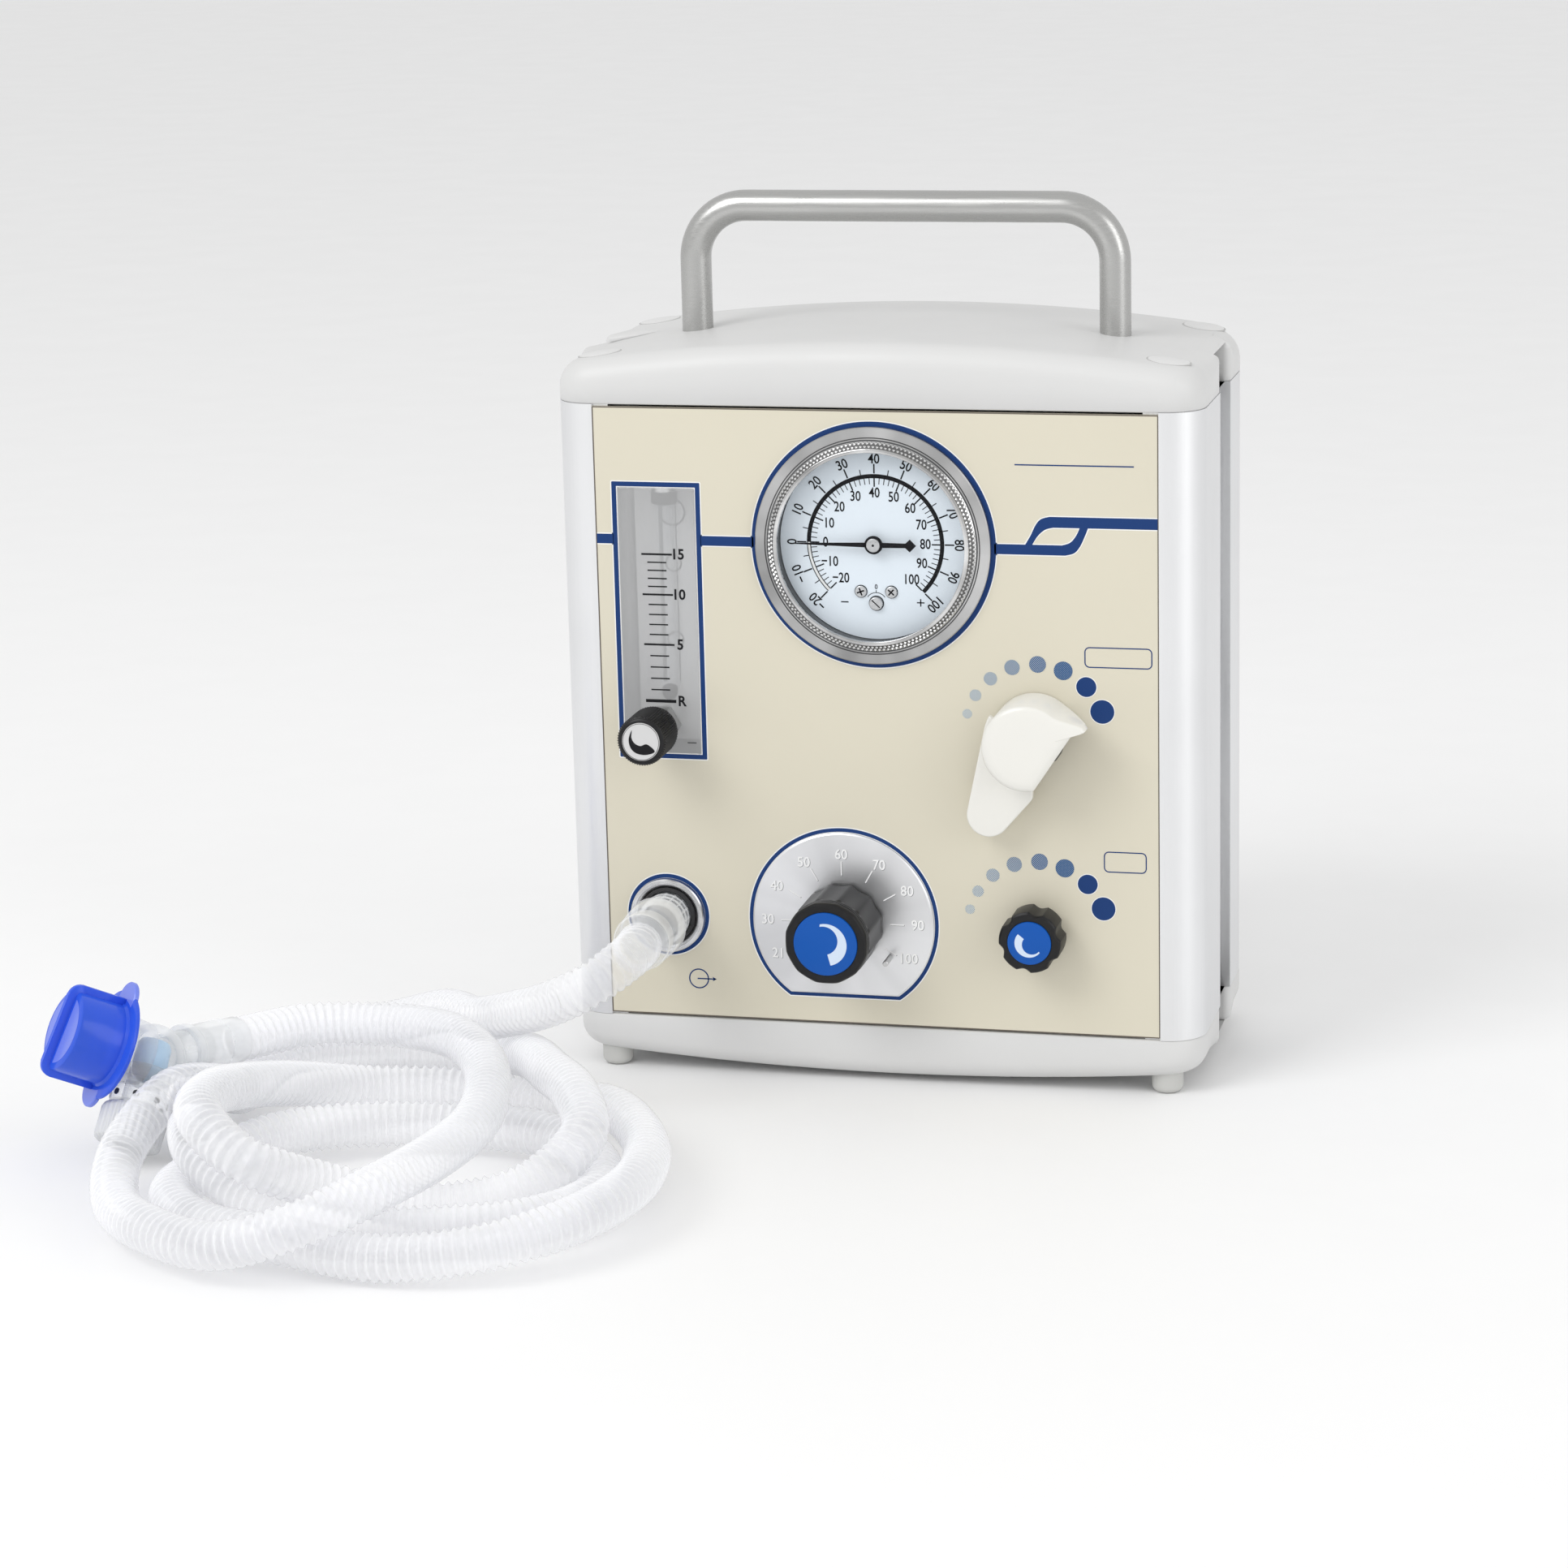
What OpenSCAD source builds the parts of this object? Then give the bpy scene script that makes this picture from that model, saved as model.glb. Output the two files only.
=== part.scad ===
// Pneumatic infant ventilator: a gas driven bench unit with a pressure gauge,
// a base flow meter, an oxygen blender, two pressure valves and a patient hose.
// The front faces -Y, +Z is up, and the origin is on the table under the middle.

/* [Enclosure] */
// Width across the two side profiles
body_w = 206.4; // [200:0.2:260]
// Depth from the front edge to the rear edge
body_d = 102; // [100:1:130]
// Height of the side profiles, between the two caps
profile_h = 200.5; // [196:0.5:250]
// Wall of the profiles and caps
wall = 3; // [2.4:0.2:3.6]
// Radius of the two upright edges at the front
front_r = 12; // [10:0.5:13]
// Radius of the two upright edges at the rear
rear_r = 20; // [16:1:22]
// Width of the front panel between the profiles
panel_gap_w = 26.4; // [22:0.2:30]
// Thickness of the front and rear panels
panel_t = 1; // [0.8:0.1:1.6]
// Half width of the accessory channel in each side
channel_r = 11; // [9:0.5:12]
// Depth of the accessory channel
channel_depth = 20.2; // [18:0.2:22]

/* [Caps and feet] */
// Height of the top cap at its middle
top_cap_h = 20; // [18:0.5:26]
// Height of the bottom cap at its middle
bottom_cap_h = 17; // [15:0.5:22]
// Gap between the bottom cap's middle and the table
ground_gap = 2; // [1:0.5:6]
// Radius of the crown on the top cap
top_crown_r = 667; // [500:10:1200]
// Radius of the crown under the bottom cap
bottom_crown_r = 1000; // [700:10:1500]
// Radius of a foot
foot_r = 5; // [4:0.5:6]

/* [Handle] */
// Diameter of the handle's rod
rod_d = 10; // [8:0.5:12]
// Distance between the two legs
handle_w = 136.6; // [110:0.2:150]
// Height of the rod's centreline above the top cap's lower edge
handle_rise = 56.5; // [50:0.5:80]
// Bend radius at the rod's centreline
handle_bend_r = 17; // [14:1:24]

/* [Gauge] */
// Height of the gauge's centre
gauge_z = 176.3; // [172:0.1:178]
// Outer radius of the steel flange
gauge_flange_r = 37.6; // [36:0.1:39]
// Visible radius of the dial
dial_r = 29.9; // [28:0.1:30]
// Depth of the gauge case behind the panel
gauge_depth = 27; // [24:1:32]
// Length of the needle from its axis to its tip
needle_len = 26.6; // [22:0.1:28]

/* [Flow meter] */
// Distance of the flow meter's axis to the left of the middle
flow_x = 70; // [68:0.5:72]
// Width of the clear block
flow_block_w = 25.4; // [22:0.2:28]
// Height of the clear block
flow_block_h = 86.3; // [80:0.1:92]
// Height of the clear block's lower end
flow_block_z = 107; // [104:0.5:110]
// Thickness of the clear block
flow_block_t = 20; // [16:0.5:22]
// Radius of the flow tube's bore
flow_bore_r = 2.9; // [2.4:0.1:3.2]
// Height of the flow knob's axis
flow_knob_z = 117; // [115:0.5:118]
// Radius of the flow knob
flow_knob_r = 8; // [7:0.5:9]

/* [Oxygen control] */
// Sideways place of the oxygen control's axis
fio2_x = -12; // [-16:0.5:-8]
// Height of the lower row of controls
row_z = 53.5; // [51:0.5:56]
// Radius of the aluminium scale plate
plate_r = 29.6; // [27:0.1:31]
// Height of the flat below the scale plate's axis
plate_flat = 23.8; // [22:0.2:26]
// Radius of the oxygen knob at its back
fio2_knob_r = 13.5; // [12:0.5:15]

/* [Pressure valves] */
// Sideways place of both pressure knobs
valve_x = 51; // [48:0.5:53]
// Height of the upper pressure knob
maxp_z = 117.2; // [114:0.1:120]
// Radius of a pressure knob
valve_knob_r = 10; // [9:0.5:10.5]
// Radius of a valve body behind the panel
valve_body_r = 12.5; // [11:0.5:14]
// Inside radius of the knob cover's cup
cover_in_r = 12.2; // [12:0.1:12.6]

/* [Gas fittings] */
// Distance that the knobs and the inlets stand out of the enclosure
stand_out = 26; // [24:1:30]
// Thread radius of the oxygen inlet
oxygen_r = 7.14; // [6.5:0.01:8]
// Thread radius of the air inlet
air_r = 9.52; // [8.5:0.01:10.5]
// Radius of the outlet's inner socket
outlet_r = 7.8; // [7.4:0.1:8.2]
// Outer diameter of the corrugated hose
hose_d = 14.5; // [12:0.5:15]

/* [Fits] */
// Radial clearance of a running or a push fit
fit_gap = 0.05; // [0.02:0.01:0.1]
// Clearance between pieces that move past each other
move_gap = 0.4; // [0.3:0.05:0.5]

/* [Hidden] */

$fn = 64;
far = 400;

// Enclosure
half_w = body_w / 2;
half_d = body_d / 2;
panel_half_w = half_w - panel_gap_w / 2;
rear_panel_half_w = half_w - rear_r;
split_lo = ground_gap + bottom_cap_h;
split_hi = split_lo + profile_h;
top_z = split_hi + top_cap_h;
panel_recess = 0.15;
panel_y = -half_d + panel_recess;
panel_back = panel_y + panel_t;
panel_edge_gap = 0.7;
panel_z0 = split_lo + panel_edge_gap;
panel_z1 = split_hi - panel_edge_gap;
rear_panel_y = half_d - panel_recess;
lip_w = 5;
lip_t = 2.5;
channel_x = half_w - channel_depth + channel_r;
floor_z = ground_gap + 7.5;

// Tie screws, their plugs and the feet
screw_x = half_w - 12.2;
screw_y = half_d - 15;
screw_r = 2;
screw_hole_r = 2.3;
screw_head_r = 3.5;
screw_head_h = 4;
plug_r = 6.7;
plug_z = split_hi + 10.7;
head_z = plug_z - screw_head_h;
foot_x = half_w - 12.2;
foot_y = half_d - 8.5;
foot_tip_r = 3.6;
foot_tip_h = 2;
foot_skirt_z = ground_gap + (foot_x - foot_r) * (foot_x - foot_r) / (2 * bottom_crown_r) + 1;

// Handle
rod_r = rod_d / 2;
leg_x = handle_w / 2;
handle_z = split_hi + handle_rise;
seat_z = split_hi + 12;
seat_r = 9.5;
nut_h = 6;
nut_r = 8.5;
leg_z0 = seat_z - nut_h - 1.5;

// Gauge
case_r = dial_r + 2.1;
case_wall = 1.2;
case_in_r = case_r - case_wall;
flange_t = 2.15;
flange_y = panel_y - flange_t;
bezel_t = 2.5;
bezel_y = flange_y - bezel_t;
bezel_base_r = 33.4;
bezel_tip_r = 31.4;
window_t = 1.4;
window_r = dial_r + 0.7;
window_y = flange_y - window_t;
dial_y = panel_y + 3.2;
dial_t = 0.8;
post_h = 2.5;
movement_y = dial_y + dial_t + post_h;
movement_r = 16;
case_back_y = panel_y + gauge_depth;
needle_y = dial_y - 3;
needle_t = 0.6;
needle_hub_r = 2.9;
needle_shaft_r = 0.9;
dial_screw_x = 4.9;
dial_screw_z = -15.4;
dial_screw_r = 1.85;
post_r = 2.4;
zero_z = -19.1;
zero_r = 2.1;
zero_shaft_r = 1;
stem_r = 5;

// Manifold and what stands on it
manifold_y0 = panel_y + 42.85;
manifold_y1 = manifold_y0 + 34;
manifold_z0 = row_z - 12;
manifold_z1 = row_z + 12;
manifold_x0 = -channel_x + channel_r + wall + 1.5;
manifold_x1 = valve_x + 15;
drill_r = 4;
riser_r = 3.5;
riser_bore_r = 2;
elbow = 12;
riser_front_y = manifold_y0 + 8;
riser_rear_y = manifold_y0 + 27;
riser_mid_y = manifold_y0 + 17;
inlet_x = 30;
inlet_neck_r = 6;
inlet_hex_h = 6;
post_x0 = -50;
post_x1 = 35;
post_big_r = 5;

// Flow meter
flow_front_y = panel_y - 1;
flow_back_y = flow_front_y + flow_block_t;
flow_axis_y = flow_front_y + 11;
flow_top_z = flow_block_z + flow_block_h;
flow_low_z = flow_knob_z + 8;
flow_high_z = flow_top_z - 12;
float_r = flow_bore_r - move_gap;
float_h = 5;
flow_seat_z = flow_knob_z + 5.3;
tube_plug_r = 4.2;
tube_plug_h = 7;
fitting_r = 5;
cartridge_r = 5;
cartridge_step = 5;
cartridge_nose_r = 3.6;
cartridge_depth = 15;
flow_spindle_r = 1.6;
flow_knob_back = -half_d - 9;
knob_front = -half_d - stand_out;
knob_cap_t = 3;
disc_t = 0.6;

// Knobs and spindles
spindle_r = 2.6;
nut_front_y = panel_y - 3;
valve_nut_r = 6.5;
valve_knob_back = -half_d - 3.6;
valve_knob_front = -half_d - 14.9;
plate_t = 1.2;
plate_y = panel_y - plate_t;
fio2_knob_back = -half_d - 2.2;
spindle_depth = 14;
spindle_hole = 1.4;
valve_foot = 14;
stop_pin_r = 0.9;

// Knob cover, which swings round a pin at the end of its tongue
cover_pin_x = valve_x - 13.8;
cover_pin_z = maxp_z - 24.5;
cover_pin_r = 2;
cover_out_r = cover_in_r + 1.4;
cover_front = -half_d - 20;
cover_back = -half_d - 0.35;
cover_boss_r = 6.9;
tongue_y0 = -half_d - 8.5;
tongue_y1 = -half_d - 6.5;
cover_face_t = 1.6;
cover_open_from = -98;
cover_open_to = 34;
cover_arm = norm([valve_x - cover_pin_x, maxp_z - cover_pin_z]);
cover_arm_angle = atan2(maxp_z - cover_pin_z, valve_x - cover_pin_x);
sweep_in_r = cover_arm - valve_knob_r - move_gap;

// Each riser runs from the manifold's top to the elbow above it: x, y and top
riser_places = [
    [-flow_x, riser_front_y, flow_low_z - elbow / 2],
    [-flow_x, riser_rear_y, flow_high_z - elbow / 2],
    [0, riser_mid_y, gauge_z - elbow / 2],
    [valve_x, riser_mid_y, maxp_z - valve_foot]];

// Outlet, hose and the pieces at its far end
port_r = 9.2;
port_y = panel_y - 2;
bezel_ring_r = 12.15;
connector_r = outlet_r - fit_gap;
connector_core_r = 6.9;
connector_bore_r = 5.5;
connector_in = 6;
cuff_y0 = -half_d - 33.5;
cuff_y1 = -half_d - 13.7;
cuff_r = 9.75;
hose_r = hose_d / 2;

// Centreline of the hose, chosen by hand: out of the front, down to the table,
// four loose turns that cross each other, and up to the T-piece
hose_path = [
    [-70, -84.5, 53.5], [-70, -97, 53], [-79, -109, 47], [-94, -107, 39], [-109, -96, 32],
    [-126, -82, 25], [-144, -60, 20], [-168, -48, 11], [-195, -54, 8], [-211, -78, 8],
    [-211, -107, 8], [-204, -136, 8], [-192, -162, 11], [-183, -188, 20], [-170, -214, 21],
    [-148, -228, 13], [-121, -234, 8], [-92, -231, 9], [-66, -218, 9], [-55, -192, 8],
    [-64, -164, 9], [-86, -146, 10], [-115, -140, 9], [-143, -147, 10], [-166, -165, 11],
    [-179, -190, 8], [-178, -218, 9], [-160, -240, 9], [-132, -250, 10], [-103, -254, 8],
    [-74, -250, 11], [-52, -232, 14], [-42, -205, 15], [-44, -176, 14], [-54, -148, 13],
    [-71, -124, 12], [-96, -112, 8], [-125, -109, 10], [-152, -118, 12], [-167, -141, 20],
    [-173, -169, 28], [-172, -198, 35], [-165, -225, 37], [-146, -238, 29], [-126, -223, 17],
    [-101, -210, 8], [-75, -201, 12], [-62, -181, 22], [-72, -154, 26], [-87, -129, 24],
    [-101, -103, 20], [-116, -79, 13], [-140, -65, 8], [-168, -71, 10], [-188, -90, 12],
    [-193, -118, 9], [-190, -145, 19], [-195, -173, 26], [-200, -200, 17], [-192, -227, 10],
    [-173, -250, 11], [-147, -263, 12], [-121, -261, 20], [-104, -239, 25], [-97, -211, 25],
    [-95, -182, 25], [-100, -153, 26], [-111, -125, 26], [-128, -101, 25], [-152, -87, 23],
    [-178, -94, 24], [-195.5, -116.5, 25]];
hose_sides = 10;

// T-piece: a hub with three branches
hub = [-209, -153, 30];
hub_r = 10.5;
hose_dir = hose_path[len(hose_path) - 1] - hub;
patient_dir = [-0.677, -0.588, 0.44];
peep_dir = [-0.1, -0.6, -0.79];
hub_to_hose = norm(hose_dir);
spigot_r = 6.6;
spigot_len = 22;
hose_cuff_r = 7.6;
hose_cuff_from = 14;
patient_port_r = 11;
patient_port_bore_r = 7.7;
patient_port_len = 25;
cap_from = 13.5;
cap_flange_r = 17.5;
cap_flange_t = 1.5;
cap_in_r = patient_port_r + fit_gap;
cap_out_r = 12.8;
cap_len = 31;
cap_fin_w = 30;
cap_fin_t = 2.5;
cap_fin_out = 3.5;
ear_r = 6;
peep_neck_r = 7.5;
peep_neck_len = 27;
peep_from = 17.5;
peep_len = 29;
peep_r = 10.5;

// Needle: its cap, its shaft's reach into the movement, and its outline about its axis
needle_cap_r = 2.1;
needle_cap_t = 0.7;
needle_shaft_in = 10;
needle_blade = [[-needle_len, 0.15], [-2, 0.75], [-2, -0.75], [-needle_len, -0.15]];
needle_arrow = [[2, 0.8], [10.2, 0.7], [11.7, 1.9], [13.6, 0], [11.7, -1.9], [10.2, -0.7], [2, -0.8]];
// Movement: the zero adjuster's boss and the dial posts' length into it
zero_boss_r = 4.5;
zero_boss_len = 8;
post_in = 4;
// Block at the back of the upper pressure valve
valve_block = 18;
valve_head = 12;
// Stop pin: its place from the oxygen control's axis, and its length
stop_pin_dx = 15.4;
stop_pin_drop = 10.6;
stop_pin_len = 8;
// Outline of the cover's finger tab about the knob's axis
cover_tab = [[13.4, -1], [18, 4.5], [19.4, 6.6], [18.6, 8.2], [16.4, 8.4], [9, 10.4], [8, 0]];

// ---------------------------------------------------------------- helpers

// Cylinder along Y at (x, z), from y0 to y1
module bar_y(x, z, r, y0, y1) {
    translate([x, y0, z]) rotate([-90, 0, 0]) cylinder(h = y1 - y0, r = r);
}

// Tube along Y
module tube_y(x, z, r, bore, y0, y1) {
    difference() {
        bar_y(x, z, r, y0, y1);
        bar_y(x, z, bore, y0 - 1, y1 + 1);
    }
}

// Turns +Z to the direction v
module along(v) {
    rotate([0, acos(v.z / norm(v)), atan2(v.y, v.x)]) children();
}

// Hexagon nut along Y
module nut_y(x, z, r, bore, y0, y1) {
    difference() {
        translate([x, y0, z]) rotate([-90, 0, 0]) cylinder(h = y1 - y0, r = r, $fn = 6);
        bar_y(x, z, bore, y0 - 1, y1 + 1);
    }
}

// Plan of the enclosure, drawn inwards by d
module plan(d) {
    fr = front_r - d;
    rr = rear_r - d;
    w = half_w - d;
    h = half_d - d;
    translate([-w, -h + fr]) square([2 * w, 2 * h - fr - rr]);
    translate([-w + fr, -h]) square([2 * (w - fr), fr + 1]);
    translate([-w + rr, h - rr - 1]) square([2 * (w - rr), rr + 1]);
    for (s = [-1, 1]) {
        translate([s * (w - fr), -h + fr]) circle(fr);
        translate([s * (w - rr), h - rr]) circle(rr);
    }
}

// Plan of the accessory channel on one side, grown by d
module channel(s, d) {
    translate([s * channel_x, 0]) circle(channel_r + d);
    translate([s > 0 ? channel_x : -channel_x - far, -channel_r - d]) square([far, 2 * (channel_r + d)]);
}

module channels(z0, z1) {
    for (s = [-1, 1]) translate([0, 0, z0]) linear_extrude(z1 - z0) channel(s, 0);
}

// Height of the top crown at a distance x from the middle
function crown_z(x) = top_z - top_crown_r + sqrt(top_crown_r * top_crown_r - x * x);

// Space under the top crown, lowered by d
module under_crown(d) {
    translate([0, 0, top_z - top_crown_r - d]) rotate([90, 0, 0])
        cylinder(h = far, r = top_crown_r, center = true, $fn = 720);
}

module above_crown() {
    translate([0, 0, ground_gap + bottom_crown_r]) rotate([90, 0, 0])
        cylinder(h = far, r = bottom_crown_r, center = true, $fn = 720);
}

module at_screws() {
    for (sx = [-1, 1], sy = [-1, 1]) translate([sx * screw_x, sy * screw_y, 0]) children();
}

// ---------------------------------------------------------------- enclosure

module top_cap_block(d, extra) {
    intersection() {
        translate([0, 0, split_hi - extra]) linear_extrude(top_cap_h + extra) plan(d);
        under_crown(d);
    }
}

module top_cap() color([0.88, 0.88, 0.87]) {
    difference() {
        top_cap_block(0, 0);
        difference() {
            top_cap_block(wall, 1);
            for (s = [-1, 1]) {
                translate([0, 0, split_hi]) linear_extrude(top_cap_h) channel(s, wall);
                translate([s * leg_x, 0, seat_z]) cylinder(h = top_cap_h, r = seat_r);
            }
            at_screws() translate([0, 0, split_hi]) cylinder(h = top_cap_h, r = plug_r + 2);
        }
        channels(split_hi - 1, top_z + 1);
        at_screws() translate([0, 0, split_hi - 1]) cylinder(h = top_cap_h + 2, r = screw_hole_r);
        at_screws() translate([0, 0, head_z]) cylinder(h = top_cap_h, r = plug_r + fit_gap);
        for (s = [-1, 1])
            translate([s * leg_x, 0, seat_z - 1]) cylinder(h = top_cap_h, r = rod_r + fit_gap);
    }
}

module bottom_cap() color([0.88, 0.88, 0.87]) {
    difference() {
        intersection() {
            linear_extrude(split_lo) plan(0);
            above_crown();
        }
        difference() {
            translate([0, 0, floor_z]) linear_extrude(split_lo) plan(wall);
            for (s = [-1, 1]) linear_extrude(split_lo) channel(s, wall);
            at_screws() cylinder(h = split_lo, r = plug_r);
        }
        channels(-1, split_lo + 1);
        at_screws() translate([0, 0, floor_z]) cylinder(h = split_lo, r = screw_r + fit_gap);
    }
}

// Section of one side profile: outer wall, channel, panel lips and screw channels
module profile_section(s) {
    difference() {
        intersection() {
            union() {
                difference() {
                    plan(0);
                    plan(wall);
                }
                channel(s, wall);
                for (sy = [-1, 1]) translate([s * screw_x, sy * screw_y]) {
                    circle(screw_hole_r + 2.2);
                    translate([s > 0 ? 0 : -12, -1.5]) square([12, 3]);
                }
            }
            union() {
                translate([s > 0 ? panel_half_w : -half_w, -half_d]) square([half_w - panel_half_w, half_d]);
                translate([s > 0 ? rear_panel_half_w : -half_w, 0]) square([rear_r, half_d]);
                channel(s, wall);
            }
            plan(0);
        }
        channel(s, 0);
        for (sy = [-1, 1]) translate([s * screw_x, sy * screw_y]) circle(screw_hole_r);
    }
    translate([s > 0 ? panel_half_w - lip_w : -panel_half_w, panel_back]) square([lip_w, lip_t]);
    translate([s > 0 ? panel_half_w - 0.5 : -panel_half_w - 2, panel_back]) square([2.5, lip_t]);
    translate([s > 0 ? rear_panel_half_w - lip_w : -rear_panel_half_w, rear_panel_y - panel_t - lip_t])
        square([lip_w, lip_t]);
    translate([s > 0 ? rear_panel_half_w - 0.5 : -rear_panel_half_w - 2, rear_panel_y - panel_t - lip_t])
        square([2.5, lip_t]);
}

module side_profile(s) color([0.74, 0.75, 0.77])
    translate([0, 0, split_lo]) linear_extrude(profile_h) profile_section(s);

module left_profile() side_profile(-1);
module right_profile() side_profile(1);

module front_panel() color([0.87, 0.85, 0.78]) {
    difference() {
        translate([-panel_half_w, panel_y, panel_z0])
            cube([2 * panel_half_w, panel_t, panel_z1 - panel_z0]);
        bar_y(0, gauge_z, case_r + 0.1, panel_y - 1, panel_back + 1);
        translate([-flow_x - flow_block_w / 2 - 0.1, panel_y - 1, flow_block_z - 0.1])
            cube([flow_block_w + 0.2, panel_t + 2, flow_block_h + 0.2]);
        for (x = [fio2_x, valve_x])
            bar_y(x, row_z, spindle_r + spindle_hole, panel_y - 1, panel_back + 1);
        bar_y(valve_x, maxp_z, spindle_r + spindle_hole, panel_y - 1, panel_back + 1);
        bar_y(-flow_x, row_z, port_r + fit_gap, panel_y - 1, panel_back + 1);
        bar_y(cover_pin_x, cover_pin_z, cover_pin_r + fit_gap, panel_y - 1, panel_back + 1);
    }
}

module rear_panel() color([0.80, 0.81, 0.82]) {
    difference() {
        translate([-rear_panel_half_w, rear_panel_y - panel_t, panel_z0])
            cube([2 * rear_panel_half_w, panel_t, panel_z1 - panel_z0]);
        for (s = [-1, 1])
            bar_y(s * inlet_x, row_z, inlet_neck_r + fit_gap, rear_panel_y - 3, rear_panel_y + 1);
    }
}

module screw_plugs() color([0.92, 0.92, 0.91])
    at_screws() translate([0, 0, plug_z]) cylinder(h = crown_z(screw_x) + 0.2 - plug_z, r = plug_r);

module tie_screws() color([0.70, 0.70, 0.72]) {
    at_screws() difference() {
        union() {
            translate([0, 0, head_z]) cylinder(h = screw_head_h, r = screw_head_r);
            translate([0, 0, floor_z]) cylinder(h = head_z - floor_z + 1, r = screw_r);
        }
        translate([0, 0, head_z + 2]) cylinder(h = screw_head_h, r = 1.7, $fn = 6);
    }
}

module feet() color([0.80, 0.80, 0.79]) {
    for (sx = [-1, 1], sy = [-1, 1]) translate([sx * foot_x, sy * foot_y, 0]) {
        difference() {
            union() {
                cylinder(h = foot_tip_h, r1 = foot_tip_r, r2 = foot_r);
                translate([0, 0, foot_tip_h]) cylinder(h = foot_skirt_z + 3 - foot_tip_h, r = foot_r);
            }
            translate([-sx * foot_x, 0, ground_gap + bottom_crown_r]) rotate([90, 0, 0])
                cylinder(h = 3 * foot_r, r = bottom_crown_r, center = true, $fn = 720);
        }
    }
}

module handle() color([0.80, 0.80, 0.80]) {
    bend_x = leg_x - handle_bend_r;
    bend_z = handle_z - handle_bend_r;
    for (s = [-1, 1]) {
        translate([s * leg_x, 0, leg_z0]) cylinder(h = bend_z - leg_z0, r = rod_r);
        translate([s * bend_x, 0, bend_z]) rotate([90, 0, s > 0 ? 0 : 180])
            rotate_extrude(angle = 90) translate([handle_bend_r, 0]) circle(rod_r);
    }
    translate([-bend_x, 0, handle_z]) rotate([0, 90, 0]) cylinder(h = 2 * bend_x, r = rod_r);
}

module handle_nuts() color([0.70, 0.70, 0.72]) {
    for (s = [-1, 1]) translate([s * leg_x, 0, seat_z - nut_h]) difference() {
        cylinder(h = nut_h, r = nut_r, $fn = 6);
        translate([0, 0, -1]) cylinder(h = nut_h + 2, r = rod_r + fit_gap);
    }
}

// ---------------------------------------------------------------- gauge

module gauge_flange() color([0.72, 0.72, 0.71])
    tube_y(0, gauge_z, gauge_flange_r, window_r, flange_y, panel_y);

module gauge_bezel() color([0.82, 0.82, 0.82]) {
    difference() {
        translate([0, flange_y, gauge_z]) rotate([90, 0, 0])
            cylinder(h = bezel_t, r1 = bezel_base_r, r2 = bezel_tip_r);
        bar_y(0, gauge_z, dial_r, bezel_y - 1, flange_y + 1);
        bar_y(0, gauge_z, window_r + fit_gap, window_y, flange_y + 1);
    }
}

module gauge_case() color([0.45, 0.46, 0.48]) {
    difference() {
        bar_y(0, gauge_z, case_r, panel_y, case_back_y);
        bar_y(0, gauge_z, case_in_r, panel_y - 1, case_back_y - case_wall);
        bar_y(0, gauge_z, stem_r, panel_y, case_back_y + 1);
    }
}

module gauge_window() color([0.85, 0.92, 0.97, 0.4])
    bar_y(0, gauge_z, window_r, window_y, flange_y);

module gauge_dial() color([0.76, 0.85, 0.93]) {
    difference() {
        bar_y(0, gauge_z, case_in_r - 0.1, dial_y, dial_y + dial_t);
        bar_y(0, gauge_z, needle_shaft_r + move_gap, dial_y - 1, dial_y + 2);
        bar_y(0, gauge_z + zero_z, zero_shaft_r + move_gap, dial_y - 1, dial_y + 2);
        for (s = [-1, 1])
            bar_y(s * dial_screw_x, gauge_z + dial_screw_z, 0.9, dial_y - 1, dial_y + 2);
    }
}

module dial_screws() color([0.75, 0.75, 0.76]) {
    for (s = [-1, 1]) difference() {
        union() {
            bar_y(s * dial_screw_x, gauge_z + dial_screw_z, dial_screw_r, dial_y - 0.8, dial_y);
            bar_y(s * dial_screw_x, gauge_z + dial_screw_z, 0.8, dial_y, dial_y + 3);
        }
        translate([s * dial_screw_x, dial_y - 0.8, gauge_z + dial_screw_z]) {
            cube([2, 0.8, 0.5], center = true);
            cube([0.5, 0.8, 2], center = true);
        }
    }
}

module zero_screw() color([0.75, 0.75, 0.76]) {
    difference() {
        union() {
            bar_y(0, gauge_z + zero_z, zero_r, dial_y - 1.3, dial_y - 0.3);
            bar_y(0, gauge_z + zero_z, zero_shaft_r, dial_y - 0.5, movement_y + 6);
        }
        translate([0, dial_y - 1.3, gauge_z + zero_z]) rotate([0, 25, 0])
            cube([6, 1, 0.8], center = true);
    }
}

// The needle points to zero, to the left, with an arrow as its counterweight
module gauge_needle() color([0.08, 0.08, 0.09]) {
    difference() {
        translate([0, needle_y + needle_t, gauge_z]) rotate([90, 0, 0]) linear_extrude(needle_t) {
            polygon(needle_blade);
            polygon(needle_arrow);
            circle(needle_hub_r);
        }
        bar_y(0, gauge_z, needle_shaft_r, needle_y - 1, needle_y + 2);
    }
    bar_y(0, gauge_z, needle_cap_r, needle_y - needle_cap_t, needle_y);
    bar_y(0, gauge_z, needle_shaft_r, needle_y, movement_y + needle_shaft_in);
}

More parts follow.
